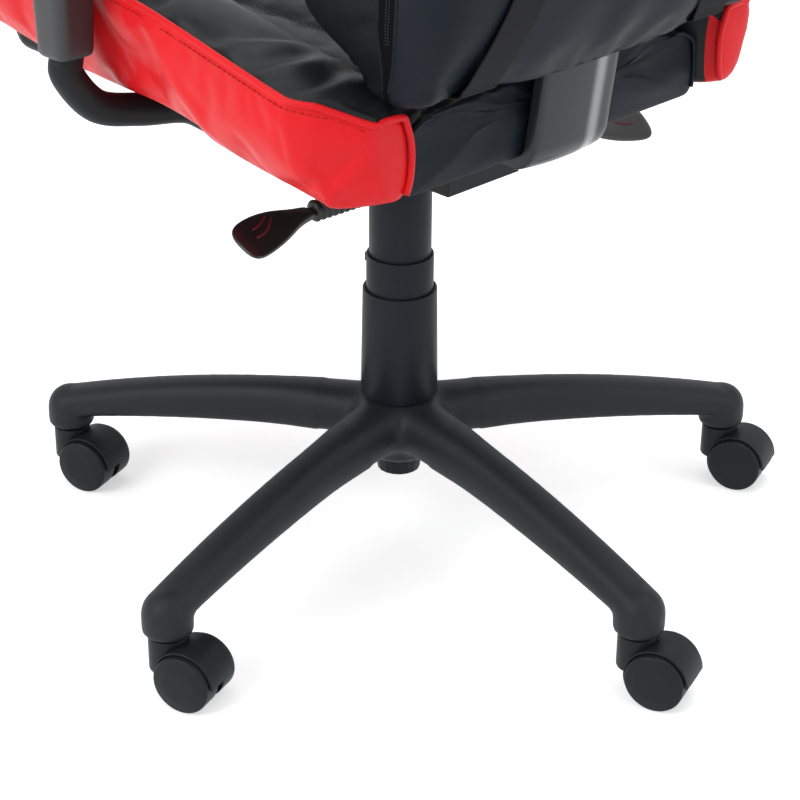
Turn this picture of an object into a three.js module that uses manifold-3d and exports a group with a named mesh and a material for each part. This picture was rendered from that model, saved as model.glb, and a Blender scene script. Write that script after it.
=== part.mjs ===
// Swivel gaming chair: five-star castor base, gas lift, rocking mechanism, bucket seat and tall back.
// Millimetres. +Z is up, the front of the seat faces -Y, the sitter's left is +X, the floor is z = 0.
// The origin is under the middle of the chair; the swivel axis stands at (axis_x, axis_y).

import * as THREE from 'three';
import { mergeVertices } from 'three/addons/utils/BufferGeometryUtils.js';
import Module from 'manifold-3d';

const wasm = await Module();
wasm.setup();

// Place of the swivel axis, and the gaps that pieces keep to each other
const axis_x = -6;
const axis_y = -26;
const touch_gap = 0.3;
const running_gap = 0.5;
const cut_over = 2;

// Star base
const leg_count = 5;
const castor_circle_radius = 320;
const leg_heading_deg = 10.3;
const boss_radius = 21;
const boss_bottom_z = 58;
const boss_side_height = 17;
const boss_dome_height = 21;
const hub_radius = 37;
const hub_top_z = 142;
const hub_bottom_z = 84;
const hub_edge_round = 3;
const leg_hub_half_width = 26;
const leg_half_width = 20;
const leg_end_half_width = 19;
const leg_root_top_z = 142;
const leg_end_top_z = 95;
const leg_root_bottom_z = 98;
const leg_end_bottom_z = 68;
const leg_wall = 3.5;
const socket_wall = 5;
const socket_depth = 24;

// Castors
const wheel_diameter = 50;
const wheel_width = 19;
const wheel_face_bulge = 2.4;
const wheel_edge_round = 1.6;
const wheel_rim = 4;
const wheel_recess = 7;
const wheel_hub_radius = 7;
const castor_web = 7;
const castor_trail = 23;
const castor_headings_deg = [108.7, 108.7, 108.7, 50, 108.7];
const hood_wall = 1.6;
const hood_gap = 1;
const hood_width = 36;
const hood_back_reach = 16;
const neck_radius = 16.5;
const neck_gap = 2;
const stem_radius = 5.5;
const stem_collar_radius = 8.5;
const stem_hold = 12;
const axle_radius = 3;

// Gas lift
const tube_radius = 25;
const tube_wall = 2;
const tube_top_z = 254;
const taper_top_z = 104;
const foot_radius = 19;
const foot_bottom_z = 66;
const foot_floor = 6;
const bush_length = 40;
const cylinder_radius = 14;
const cylinder_wall = 2.2;
const cylinder_bottom_z = 184;
const cylinder_floor = 9;
const cylinder_top_z = 392;
const cylinder_tip_radius = 12.5;
const cylinder_taper = 30;
const rod_radius = 5;
const rod_collar_radius = 9;
const rod_collar_height = 4;
const rod_tail = 6;
const piston_height = 11;
const clip_radius = 9;
const clip_thickness = 1.5;
const clip_gap_deg = 50;
const button_radius = 4;
const button_length = 22;
const button_proud = 4;
const lift_sides = 18;

// Telescopic cover
const cover_wall = 1.4;
const lower_cover_foot_radius = 33.9;
const lower_cover_top_radius = 32.3;
const lower_cover_top_z = 242;
const middle_cover_radius = 29.2;
const middle_cover_top_z = 274;
const middle_cover_length = 78;
const upper_cover_radius = 26.9;
const upper_cover_length = 115;
const cover_lip = 0.9;
const cover_lip_height = 3;

// Rocking mechanism
const housing_half_width = 42;
const housing_front_y = -105;
const housing_back_y = 96;
const housing_bottom_z = 364;
const housing_wall = 2.5;
const housing_front_height = 34;
const socket_radius = 20;
const pivot_y = -30;
const pivot_z = 396;
const pivot_radius = 6;
const rock_deg = 12;
const plate_top_z = 419;
const plate_thickness = 4;
const plate_front_y = -150;
const rail_inner_x = 50;
const rail_outer_x = 93;
const rail_half_length = 150;
const rail_end_drop = 10;
const ear_thickness = 3.5;
const shaft_overhang = 2;
const bolt_head_radius = 9;
const bolt_head_height = 6;
const spring_radius = 13;
const spring_wire = 3.6;
const spring_curls = 5;
const spring_y = -80;
const knob_radius = 27;
const knob_height = 30;
const knob_lobes = 6;
const knob_lobe_depth = 2.5;
const knob_screw_radius = 5;

// Levers
const lever_root_z = 375;
const lock_lever_root_y = 67;
const lock_lever_tip_y = 44;
const lock_lever_tip_z = 369;
const height_lever_root_y = 78;
const height_lever_tip_y = 58;
const height_lever_tip_z = 357;
const boot_inner_x = 106;
const lever_rod_radius = 4;
const paddle_length = 57;
const paddle_width = 40;
const paddle_sweep = 20;
const height_paddle_roll_deg = 25;
const paddle_thickness = 9;
const paddle_neck = 24;
const paddle_neck_width = 17;
const boot_length = 46;
const boot_radius = 9;
const boot_groove = 2;
const boot_ribs = 8;

// Seat
const board_half_width = 124;
const board_thickness = 12;
const board_front_y = -230;
const board_back_y = 148;
const seat_back_y = 171;
const seat_front_y = -318;
const seat_back_half_width = 157;
const seat_front_half_width = 166;
const seat_top_z = 489;
const seat_front_drop = 26;
const seat_back_drop = 12;
const seat_crown = 9;
const seat_edge_round = 16;
const channel_depth = 4;
const channel_pitch = 44;
const channel_count = 5;
const bolster_gap = 8;
const bolster_seam_gap = -0.7;
const bolster_back_y = 186;
const bolster_front_y = -306;
const bolster_outer_x = 257;
const bolster_back_x = 229;
const bolster_under_x = 232;
const bolster_waist = 9;
const bolster_waist_y = -85;
const bolster_waist_length = 90;
const bolster_bulge = 7;
const bolster_crown = 10;
const bolster_back_low_z = 422;
const bolster_middle_low_z = 450;
const bolster_front_low_z = 486;
const bolster_back_top_z = 496;
const bolster_middle_top_z = 544;
const bolster_front_top_z = 558;
const bolster_pucker = 3;
const bolster_pucker_turns = 6.7;
const bolster_edge_drop = 2;
const bolster_edge_rise = 1;

// Backrest
const back_foot_z = 492;
const back_top_z = 1254;
const back_foot_y = 200;
const back_belly = 26;
const back_belly_height = 70;
const back_lean_deg = 8;
const back_foot_half_width = 196;
const back_shoulder_half_width = 262;
const back_neck_half_width = 172;
const back_head_half_width = 152;
const back_shoulder_drop = 277;
const back_neck_drop = 172;
const back_shoulder_z = back_top_z - back_shoulder_drop;
const back_neck_z = back_top_z - back_neck_drop;
const back_thickness = 78;
const back_wing_depth = 138;
const back_foot_lift = 12;
const slot_drop = 194;
const slot_z = back_top_z - slot_drop;
const slot_x = 86;
const slot_length = 92;
const slot_height = 40;
const strap_foot_x = 132;
const strap_slot_x = 96;
const strap_width = 38;
const strap_thickness = 1.6;
const pillow_half_width = 148;
const pillow_half_height = 92;
const pillow_thickness = 88;
const pillow_z = 647;

// Back bracket and its cover
const bracket_half_width = 32;
const bracket_thickness = 6;
const bracket_front_y = 66;
const bracket_rear_y = 183;
const bracket_top_z = 652;
const bracket_bend_radius = 14;
const bracket_cover_half_width = 43;
const bracket_cover_wall = 2.5;
const bracket_cover_front_y = 128;
const bracket_cover_top_z = 486;

// Armrests
const arm_y = -85;
const arm_tube_radius = 13.3;
const arm_plate_inner_x = 97;
const arm_plate_outer_x = 128;
const arm_plate_length = 96;
const arm_plate_thickness = 4;
const arm_low_z = 402.4;
const arm_plate_rise = 2;
const arm_bend_x = 160;
const arm_bend_z = 423;
const arm_level_x = 208;
const arm_level_z = 433;
const arm_post_x = 275;
const arm_post_low_z = 494;
const sleeve_foot_half_width = 17.3;
const sleeve_top_half_width = 22;
const sleeve_top_z = 668;
const sleeve_wall = 3;
const arm_pad_length = 262;
const arm_pad_width = 78;
const arm_pad_thickness = 26;
const arm_pad_overhang = 12;

// Helpers

const TAU = 2 * Math.PI;
const rad = THREE.MathUtils.degToRad;
const lerp = THREE.MathUtils.lerp;
const smooth = THREE.MathUtils.smoothstep;

const chair = new THREE.Group();
chair.position.set(axis_x, axis_y, 0);

function material(color, roughness, metalness) {
  return new THREE.MeshStandardMaterial({ color, roughness, metalness });
}

function nylon() {
  return material(0x17181a, 0.55, 0);
}

function black_steel() {
  return material(0x1b1c1e, 0.42, 0.6);
}

function black_vinyl() {
  return material(0x1d2023, 0.45, 0);
}

function red_vinyl() {
  return material(0xe0232b, 0.42, 0);
}

function add(name, geometry, finish, parent = chair) {
  const mesh = new THREE.Mesh(geometry, finish);
  mesh.name = name;
  parent.add(mesh);
  return mesh;
}

// Solid of a closed geometry, for cutting and joining
function solid_of(geometry) {
  const bare = geometry.clone();
  bare.deleteAttribute('normal');
  bare.deleteAttribute('uv');
  const merged = mergeVertices(bare);
  return new wasm.Manifold(new wasm.Mesh({
    numProp: 3,
    vertProperties: new Float32Array(merged.attributes.position.array),
    triVerts: new Uint32Array(merged.index.array),
  }));
}

function geometry_of(solid) {
  const mesh = solid.getMesh();
  const geometry = new THREE.BufferGeometry();
  geometry.setAttribute('position', new THREE.BufferAttribute(mesh.vertProperties, 3));
  geometry.setIndex(new THREE.BufferAttribute(mesh.triVerts, 1));
  geometry.computeVertexNormals();
  return geometry;
}

// Closed skin through rings of equal length, capped at both ends, or joined end to end when round is true
function loft(rings, round = false) {
  const count = rings[0].length;
  const points = rings.flat();
  const faces = [];
  const spans = round ? rings.length : rings.length - 1;
  for (let i = 0; i < spans; i += 1) {
    const next = (i + 1) % rings.length;
    for (let j = 0; j < count; j += 1) {
      const k = (j + 1) % count;
      const a = i * count + j;
      const b = i * count + k;
      const c = next * count + k;
      const d = next * count + j;
      faces.push(a, b, c, a, c, d);
    }
  }
  if (!round) {
    for (const [ring, flip] of [[0, true], [rings.length - 1, false]]) {
      const middle = new THREE.Vector3();
      rings[ring].forEach((point) => middle.add(new THREE.Vector3(...point)));
      middle.divideScalar(count);
      points.push(middle.toArray());
      const centre = points.length - 1;
      for (let j = 0; j < count; j += 1) {
        const a = ring * count + j;
        const b = ring * count + ((j + 1) % count);
        faces.push(centre, flip ? b : a, flip ? a : b);
      }
    }
  }
  const geometry = new THREE.BufferGeometry();
  geometry.setAttribute('position', new THREE.BufferAttribute(new Float32Array(points.flat()), 3));
  geometry.setIndex(faces);
  if (signed_volume(geometry) < 0) {
    for (let i = 0; i < faces.length; i += 3) {
      [faces[i], faces[i + 1]] = [faces[i + 1], faces[i]];
    }
    geometry.setIndex(faces);
  }
  geometry.computeVertexNormals();
  return geometry;
}

function signed_volume(geometry) {
  const place = geometry.attributes.position;
  const index = geometry.index.array;
  const corner = [new THREE.Vector3(), new THREE.Vector3(), new THREE.Vector3()];
  let total = 0;
  for (let i = 0; i < index.length; i += 3) {
    corner.forEach((point, j) => point.fromBufferAttribute(place, index[i + j]));
    total += corner[0].dot(corner[1].clone().cross(corner[2]));
  }
  return total;
}

// Turned solid about +Z, from points (radius, z) that start and end on the axis or close on themselves
function turned(profile, segments) {
  const points = profile.map(([radius, z]) => new THREE.Vector2(radius, z));
  const geometry = new THREE.LatheGeometry(points, segments);
  geometry.rotateX(TAU / 4);
  const solid = merged_outward(geometry);
  return solid;
}

function merged_outward(geometry) {
  geometry.deleteAttribute('normal');
  geometry.deleteAttribute('uv');
  const merged = mergeVertices(geometry);
  const kept = [];
  const index = merged.index.array;
  for (let i = 0; i < index.length; i += 3) {
    const [a, b, c] = [index[i], index[i + 1], index[i + 2]];
    if (a !== b && b !== c && c !== a) {
      kept.push(a, b, c);
    }
  }
  merged.setIndex(kept);
  if (signed_volume(merged) < 0) {
    for (let i = 0; i < kept.length; i += 3) {
      [kept[i], kept[i + 1]] = [kept[i + 1], kept[i]];
    }
    merged.setIndex(kept);
  }
  merged.computeVertexNormals();
  return merged;
}

function tube_ring(inner, outer, low, high, segments) {
  return turned([[inner, low], [outer, low], [outer, high], [inner, high], [inner, low]], segments);
}

function disc(radius, low, high, segments) {
  return turned([[0, low], [radius, low], [radius, high], [0, high]], segments);
}

function block(low_x, high_x, low_y, high_y, low_z, high_z) {
  const geometry = new THREE.BoxGeometry(high_x - low_x, high_y - low_y, high_z - low_z);
  geometry.translate((low_x + high_x) / 2, (low_y + high_y) / 2, (low_z + high_z) / 2);
  return geometry;
}

// Plate whose outline is given in (y, z), with its thickness along X
function side_plate(outline, low_x, high_x) {
  const shape = new THREE.Shape(outline.map(([y, z]) => new THREE.Vector2(y, z)));
  const geometry = new THREE.ExtrudeGeometry(shape, { depth: high_x - low_x, bevelEnabled: false });
  geometry.applyMatrix4(new THREE.Matrix4().makeBasis(
    new THREE.Vector3(0, 1, 0),
    new THREE.Vector3(0, 0, 1),
    new THREE.Vector3(1, 0, 0),
  ));
  geometry.translate(low_x, 0, 0);
  return geometry;
}

// Round bar along a curve
function bar(curve, radius, sides, steps) {
  const shape = new THREE.Shape();
  for (let i = 0; i < sides; i += 1) {
    const angle = (TAU * i) / sides;
    const x = radius * Math.cos(angle);
    const y = radius * Math.sin(angle);
    if (i === 0) {
      shape.moveTo(x, y);
    } else {
      shape.lineTo(x, y);
    }
  }
  shape.closePath();
  return new THREE.ExtrudeGeometry(shape, { steps, bevelEnabled: false, extrudePath: curve });
}

function along_x(geometry) {
  return geometry.rotateY(TAU / 4);
}

// Star base: hub, five arched legs that are hollow beneath, and the castor bosses

function leg_ring(reach, half_width, bottom_z, top_z) {
  const height = top_z - bottom_z;
  const side_shares = [[1, 0], [1, 0.45], [0.88, 0.76], [0.52, 0.95]];
  const right = side_shares.map(([across, up]) => [reach, across * half_width, bottom_z + up * height]);
  const left = side_shares.map(([across, up]) => [reach, -across * half_width, bottom_z + up * height]);
  return [...right, [reach, 0, top_z], ...left.reverse()];
}

function leg_sections(inset) {
  const reach_shares = [0.06, 0.14, 0.26, 0.42, 0.6, 0.78, 0.9, 1];
  return reach_shares.map((share) => {
    const reach = share * castor_circle_radius;
    const near_hub = 1 - smooth(share, 0.1, 0.4);
    const width = lerp(lerp(leg_half_width, leg_end_half_width, share), leg_hub_half_width, near_hub);
    const top_z = lerp(leg_root_top_z, leg_end_top_z, share ** 1.9);
    const bottom_z = lerp(leg_root_bottom_z, leg_end_bottom_z, share ** 2);
    return leg_ring(reach, width - inset, bottom_z - (inset ? cut_over : 0), top_z - inset);
  });
}

function base_geometry() {
  const hub_round = hub_top_z - hub_edge_round;
  let body = solid_of(turned([
    [0, hub_bottom_z], [hub_radius, hub_bottom_z], [hub_radius, hub_round],
    [hub_radius - hub_edge_round, hub_top_z], [0, hub_top_z],
  ], 24));
  const boss_side_z = boss_bottom_z + boss_side_height;
  const boss_profile = [[0, boss_bottom_z], [boss_radius, boss_bottom_z]];
  for (let i = 0; i <= 3; i += 1) {
    const turn = (TAU / 4) * (i / 3);
    boss_profile.push([
      i === 3 ? 0 : boss_radius * Math.cos(turn),
      boss_side_z + boss_dome_height * Math.sin(turn),
    ]);
  }
  const boss = turned(boss_profile, 16);
  boss.translate(castor_circle_radius, 0, 0);
  const leg = solid_of(loft(leg_sections(0)));
  const hollow_rings = leg_sections(leg_wall).slice(2, -2);
  const hollow = solid_of(loft(hollow_rings));
  const arm = leg.add(solid_of(boss));
  const bore = disc(stem_radius + touch_gap, boss_bottom_z - cut_over, boss_bottom_z + socket_depth, 10);
  bore.translate(castor_circle_radius, 0, 0);
  for (let i = 0; i < leg_count; i += 1) {
    body = body.add(turn_solid(arm, leg_angle(i)));
  }
  for (let i = 0; i < leg_count; i += 1) {
    body = body.subtract(turn_solid(hollow, leg_angle(i)));
    body = body.subtract(turn_solid(solid_of(bore), leg_angle(i)));
  }
  const seat = turned(foot_profile(touch_gap, hub_bottom_z - cut_over, hub_top_z + cut_over), lift_sides);
  return geometry_of(body.subtract(solid_of(seat)));
}

function leg_angle(i) {
  return rad(leg_heading_deg) + (TAU * i) / leg_count;
}

function turn_solid(solid, angle) {
  return solid.rotate(0, 0, THREE.MathUtils.radToDeg(angle));
}

// Radius of the lift tube's tapered foot at a height
function foot_radius_at(z) {
  const share = THREE.MathUtils.clamp((z - foot_bottom_z) / (taper_top_z - foot_bottom_z), 0, 1);
  return lerp(foot_radius, tube_radius, share);
}

function foot_profile(gap, low, high) {
  return [
    [0, low], [foot_radius_at(low) + gap, low], [tube_radius + gap, taper_top_z],
    [tube_radius + gap, high], [0, high],
  ];
}

add('star_base', base_geometry(), nylon());

// Castors: the stem stays in the boss, the hood swivels on it and the twin wheels roll on the axle

const wheel_radius = wheel_diameter / 2;
const axle_z = wheel_radius;
const hood_inner_radius = wheel_radius + hood_gap;
const hood_outer_radius = hood_inner_radius + hood_wall;
const web_half = castor_web / 2;
const wheel_inner_t = web_half + running_gap;
const stem_low_z = boss_bottom_z - stem_hold;
const axle_half = web_half + wheel_width * 0.72;

function stem_geometry() {
  const collar_low = boss_bottom_z - neck_gap + touch_gap;
  const collar_high = boss_bottom_z - touch_gap;
  const top = boss_bottom_z + socket_depth - running_gap;
  return turned([
    [0, stem_low_z], [stem_radius, stem_low_z], [stem_radius, collar_low],
    [stem_collar_radius, collar_low], [stem_collar_radius, collar_high],
    [stem_radius, collar_high], [stem_radius, top - stem_radius / 2],
    [stem_radius / 2, top], [0, top],
  ], 10);
}

// In the castor's own frame the stem is on Z, the wheels trail along +X and the axle lies along Y
function hood_geometry() {
  const drum = new THREE.CylinderGeometry(hood_outer_radius, hood_outer_radius, hood_width, 16);
  drum.translate(castor_trail, 0, 0);
  const drum_solid = solid_of(drum).translate(0, 0, axle_z);
  const neck_top = boss_bottom_z - neck_gap;
  const neck = solid_of(disc(neck_radius, axle_z, neck_top, 14));
  const fork = block(0, castor_trail, -web_half, web_half, axle_z, neck_top - wheel_radius / 2);
  let body = drum_solid.add(neck).add(solid_of(fork));
  for (const side of [-1, 1]) {
    const length = hood_width;
    const room = new THREE.CylinderGeometry(hood_inner_radius, hood_inner_radius, length, 16);
    room.translate(castor_trail, side * (web_half + length / 2), axle_z);
    body = body.subtract(solid_of(room));
  }
  const under = new THREE.BoxGeometry(4 * wheel_radius, 2 * hood_width, 2 * wheel_radius);
  under.translate(0, 0, -wheel_radius);
  under.rotateY(-Math.atan2(hood_back_reach / 2, wheel_radius));
  under.translate(castor_trail, 0, axle_z - hood_back_reach / 2);
  body = body.subtract(solid_of(under));
  const web = new THREE.CylinderGeometry(wheel_hub_radius, wheel_hub_radius, castor_web, 10);
  web.translate(castor_trail, 0, axle_z);
  body = body.add(solid_of(web));
  const axle_bore = new THREE.CylinderGeometry(
    axle_radius + touch_gap, axle_radius + touch_gap, hood_width, 10);
  axle_bore.translate(castor_trail, 0, axle_z);
  const stem_bore = disc(stem_radius + touch_gap, stem_low_z - running_gap, neck_top + cut_over, 10);
  return geometry_of(body.subtract(solid_of(axle_bore)).subtract(solid_of(stem_bore)));
}

// Wheel about its own Z axis: z = 0 is the inner face, beside the web
function wheel_geometry() {
  const bore = axle_radius + touch_gap;
  const bore_depth = axle_half - wheel_inner_t + touch_gap;
  const rim_inner = wheel_radius - wheel_rim;
  return turned([
    [0, bore_depth], [bore, bore_depth], [bore, 0], [wheel_hub_radius, 0],
    [wheel_hub_radius, wheel_recess], [rim_inner, wheel_recess],
    [wheel_radius, 0], [wheel_radius, wheel_width - wheel_edge_round],
    [wheel_radius - wheel_edge_round, wheel_width],
    [wheel_radius * 0.6, wheel_width + wheel_face_bulge * 0.7],
    [0, wheel_width + wheel_face_bulge],
  ], 14);
}

for (let i = 0; i < leg_count; i += 1) {
  const angle = leg_angle(i);
  const place = [castor_circle_radius * Math.cos(angle), castor_circle_radius * Math.sin(angle), 0];
  const stem = add(`castor_${i + 1}_stem`, stem_geometry(), material(0x8d9094, 0.3, 1));
  stem.position.set(...place);
  const castor = new THREE.Group();
  castor.position.set(...place);
  castor.rotation.z = rad(castor_headings_deg[i]);
  chair.add(castor);
  add(`castor_${i + 1}_hood`, hood_geometry(), nylon(), castor);
  const axle_shape = disc(axle_radius, -axle_half, axle_half, 8);
  const axle = add(`castor_${i + 1}_axle`, axle_shape, material(0x8d9094, 0.3, 1), castor);
  axle.position.set(castor_trail, 0, axle_z);
  axle.rotation.x = TAU / 4;
  for (const [label, side] of [['left', 1], ['right', -1]]) {
    const wheel = add(`castor_${i + 1}_wheel_${label}`, wheel_geometry(), nylon(), castor);
    wheel.position.set(castor_trail, side * wheel_inner_t, axle_z);
    wheel.rotation.x = -side * (TAU / 4);
  }
}

// Gas lift: the outer tube stands in the hub, the cylinder slides in it on a rod held under its foot

const tube_inner = tube_radius - tube_wall;
const foot_floor_z = foot_bottom_z + foot_floor;
const cylinder_inner = cylinder_radius - cylinder_wall;
const tube_shape = turned([
  [rod_radius + touch_gap, foot_bottom_z], [foot_radius, foot_bottom_z], [tube_radius, taper_top_z],
  [tube_radius, tube_top_z], [tube_inner, tube_top_z], [tube_inner, taper_top_z],
  [foot_radius - tube_wall, foot_floor_z], [rod_radius + touch_gap, foot_floor_z],
  [rod_radius + touch_gap, foot_bottom_z],
], lift_sides);
add('lift_outer_tube', tube_shape, black_steel());

const bush_low_z = tube_top_z - bush_length;
add('lift_guide_bush', tube_ring(
  cylinder_radius + touch_gap, tube_inner - touch_gap, bush_low_z, tube_top_z, lift_sides), material(0xd8d8d2, 0.5, 0));

const collar_low_z = foot_floor_z + touch_gap;
const piston_low_z = cylinder_bottom_z + cylinder_floor + running_gap;
const piston_rod_shape = turned([
  [0, foot_bottom_z - rod_tail], [rod_radius, foot_bottom_z - rod_tail], [rod_radius, collar_low_z],
  [rod_collar_radius, collar_low_z], [rod_collar_radius, collar_low_z + rod_collar_height],
  [rod_radius, collar_low_z + rod_collar_height], [rod_radius, piston_low_z],
  [cylinder_inner - running_gap, piston_low_z],
  [cylinder_inner - running_gap, piston_low_z + piston_height], [0, piston_low_z + piston_height],
], lift_sides);
add('lift_piston_rod', piston_rod_shape, material(0xb8bbc0, 0.2, 1));

function clip_geometry() {
  const shape = new THREE.Shape();
  const open = rad(clip_gap_deg);
  shape.absarc(0, 0, clip_radius, open / 2, TAU - open / 2, false);
  shape.absarc(0, 0, rod_radius + touch_gap, TAU - open / 2, open / 2, true);
  shape.closePath();
  const geometry = new THREE.ExtrudeGeometry(shape, {
    depth: clip_thickness, bevelEnabled: false, curveSegments: 12,
  });
  geometry.translate(0, 0, foot_bottom_z - touch_gap - clip_thickness);
  return geometry;
}

add('lift_retaining_clip', clip_geometry(), material(0x6c6f74, 0.35, 1));

const cylinder_cap_z = cylinder_top_z - button_length + button_proud;
const cylinder_shape = turned([
  [rod_radius + touch_gap, cylinder_bottom_z], [cylinder_radius, cylinder_bottom_z],
  [cylinder_radius, cylinder_top_z - cylinder_taper], [cylinder_tip_radius, cylinder_top_z],
  [button_radius + touch_gap, cylinder_top_z], [button_radius + touch_gap, cylinder_cap_z],
  [cylinder_inner, cylinder_cap_z - cylinder_wall], [cylinder_inner, cylinder_bottom_z + cylinder_floor],
  [rod_radius + touch_gap, cylinder_bottom_z + cylinder_floor],
  [rod_radius + touch_gap, cylinder_bottom_z],
], lift_sides);
add('lift_gas_cylinder', cylinder_shape, black_steel());

const button_top_z = cylinder_top_z + button_proud;
add('lift_release_button', disc(button_radius, button_top_z - button_length, button_top_z, lift_sides),
  material(0x9a9da2, 0.3, 1));

// Telescopic cover: the lower sleeve stands on the hub, the upper one hangs from the mechanism

function sleeve_geometry(foot, top, low_z, high_z, lip) {
  return turned([
    [foot - cover_wall, low_z], [foot, low_z], [top, high_z], [top - cover_wall - lip, high_z],
    [top - cover_wall - lip, high_z - cover_lip_height], [top - cover_wall, high_z - cover_lip_height],
    [foot - cover_wall, low_z],
  ], 24);
}

add('cover_lower_sleeve', sleeve_geometry(
  lower_cover_foot_radius, lower_cover_top_radius, hub_top_z + touch_gap, lower_cover_top_z, cover_lip), nylon());
add('cover_middle_sleeve', sleeve_geometry(
  middle_cover_radius, middle_cover_radius, middle_cover_top_z - middle_cover_length,
  middle_cover_top_z, cover_lip / 2), nylon());
const upper_cover_top_z = housing_bottom_z - touch_gap;
add('cover_upper_sleeve', sleeve_geometry(
  upper_cover_radius, upper_cover_radius, upper_cover_top_z - upper_cover_length,
  upper_cover_top_z, 0), nylon());

// Rocking mechanism: a steel housing on the cylinder's taper, and a seat plate that rocks on its shaft

const plate_low_z = plate_top_z - plate_thickness;
const rock_slope = Math.tan(rad(rock_deg));

// Lowest reach of the seat plate at a place behind the pivot, when rocked right back
function rocked_plate_z(y) {
  return plate_low_z - Math.max(0, y - pivot_y) * rock_slope - running_gap;
}

function housing_outline(inset, over) {
  const front_top = housing_bottom_z + housing_front_height;
  const top_inset = over > 0 ? -over : 0;
  const ear_top = pivot_z + pivot_radius + housing_wall - top_inset;
  const back_top = rocked_plate_z(housing_back_y) - 2 * housing_wall - top_inset;
  const low = housing_bottom_z + inset;
  return [
    [housing_front_y + inset, low], [housing_back_y - inset, low],
    [housing_back_y - inset, back_top], [pivot_y + 2 * pivot_radius, ear_top],
    [pivot_y - 2 * pivot_radius, ear_top], [housing_front_y + inset, front_top - top_inset],
  ];
}

function cross_bore(radius, y, z, length) {
  const bore = along_x(disc(radius, -length, length, 12));
  bore.translate(0, y, z);
  return solid_of(bore);
}

function housing_geometry() {
  const room_half = housing_half_width - housing_wall;
  const shell = solid_of(side_plate(housing_outline(0, 0), -housing_half_width, housing_half_width));
  const room = solid_of(side_plate(housing_outline(housing_wall, cut_over), -room_half, room_half));
  const socket_top = cylinder_top_z - cylinder_taper / 3;
  const socket = solid_of(disc(socket_radius, housing_bottom_z, socket_top, 24));
  const taper = turned([
    [0, housing_bottom_z - cut_over], [cylinder_radius + touch_gap, housing_bottom_z - cut_over],
    [cylinder_radius + touch_gap, cylinder_top_z - cylinder_taper],
    [cylinder_tip_radius + touch_gap, cylinder_top_z], [0, cylinder_top_z],
  ], lift_sides);
  const screw_hole = disc(knob_screw_radius + running_gap, housing_bottom_z - cut_over,
    housing_bottom_z + 2 * housing_wall, 12);
  screw_hole.translate(0, spring_y, 0);
  let body = shell.subtract(room).add(socket).subtract(solid_of(taper));
  body = body.subtract(solid_of(screw_hole));
  body = body.subtract(cross_bore(pivot_radius + touch_gap, pivot_y, pivot_z, 2 * housing_half_width));
  for (const lever of levers) {
    const hole = along_x(disc(lever_rod_radius + 2 * running_gap, -2 * housing_wall, 2 * housing_wall, 12));
    hole.translate(lever.side * housing_half_width, lever.root_y, lever_root_z);
    body = body.subtract(solid_of(hole));
  }
  return geometry_of(body);
}

const levers = [
  {
    name: 'rocking_lock_lever', side: 1, presses_button: false,
    root_y: lock_lever_root_y, tip_y: lock_lever_tip_y, tip_z: lock_lever_tip_z, roll_deg: 0,
  },
  {
    name: 'height_lever', side: -1, presses_button: true,
    root_y: height_lever_root_y, tip_y: height_lever_tip_y, tip_z: height_lever_tip_z,
    roll_deg: height_paddle_roll_deg,
  },
];

add('mechanism_housing', housing_geometry(), black_steel());

const ear_inner_x = housing_half_width + touch_gap;
const shaft_half = ear_inner_x + ear_thickness + shaft_overhang;
add('pivot_shaft', along_x(disc(pivot_radius, -shaft_half, shaft_half, 14)),
  material(0x8d9094, 0.3, 1)).position.set(0, pivot_y, pivot_z);

function seat_plate_geometry() {
  const middle = block(-rail_inner_x - cut_over, rail_inner_x + cut_over, plate_front_y,
    bracket_front_y - running_gap, plate_low_z, plate_top_z);
  let body = solid_of(middle);
  for (const side of [-1, 1]) {
    const width = rail_outer_x - rail_inner_x;
    const centre_x = side * (rail_inner_x + width / 2);
    const shape = new THREE.Shape();
    shape.absarc(0, rail_half_length - width / 2, width / 2, 0, TAU / 2, false);
    shape.absarc(0, -rail_half_length + width / 2, width / 2, TAU / 2, TAU, false);
    shape.closePath();
    const rail = new THREE.ExtrudeGeometry(shape, {
      depth: plate_thickness, bevelEnabled: false, curveSegments: 8,
    });
    rail.translate(centre_x, 0, plate_low_z);
    body = body.add(solid_of(rail));
    const half_ear = 2 * pivot_radius;
    const inner = side * ear_inner_x;
    const outer = side * (ear_inner_x + ear_thickness);
    const ear = side_plate([
      [pivot_y - half_ear, pivot_z - 1.5 * pivot_radius], [pivot_y + half_ear, pivot_z - 1.5 * pivot_radius],
      [pivot_y + 1.5 * half_ear, plate_top_z - plate_thickness / 2],
      [pivot_y - 1.5 * half_ear, plate_top_z - plate_thickness / 2],
    ], Math.min(inner, outer), Math.max(inner, outer));
    body = body.add(solid_of(ear));
    for (const end of [-1, 1]) {
      const head = disc(bolt_head_radius, plate_low_z - bolt_head_height, plate_low_z + plate_thickness / 2, 6);
      head.translate(centre_x, end * (rail_half_length - width / 2), 0);
      body = body.add(solid_of(head));
    }
  }
  const bore = cross_bore(pivot_radius + touch_gap, pivot_y, pivot_z, 2 * housing_half_width);
  const opening = solid_of(block(-socket_radius - running_gap, socket_radius + running_gap,
    pivot_y + 3 * pivot_radius, bracket_front_y - 2 * plate_thickness,
    plate_low_z - cut_over, plate_top_z + cut_over));
  return geometry_of(body.subtract(bore).subtract(opening));
}

add('seat_plate', seat_plate_geometry(), black_steel());

// Rocking spring round the screw, between the housing's floor and its washer above

function spring_points(steps_per_curl) {
  const low = housing_bottom_z + housing_wall + touch_gap + spring_wire;
  const high = housing_bottom_z + housing_front_height - spring_wire;
  const points = [];
  const steps = spring_curls * steps_per_curl;
  for (let i = 0; i <= steps; i += 1) {
    const angle = (TAU * i) / steps_per_curl;
    points.push(new THREE.Vector3(
      spring_radius * Math.cos(angle),
      spring_y + spring_radius * Math.sin(angle),
      lerp(low, high, i / steps),
    ));
  }
  return points;
}

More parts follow.
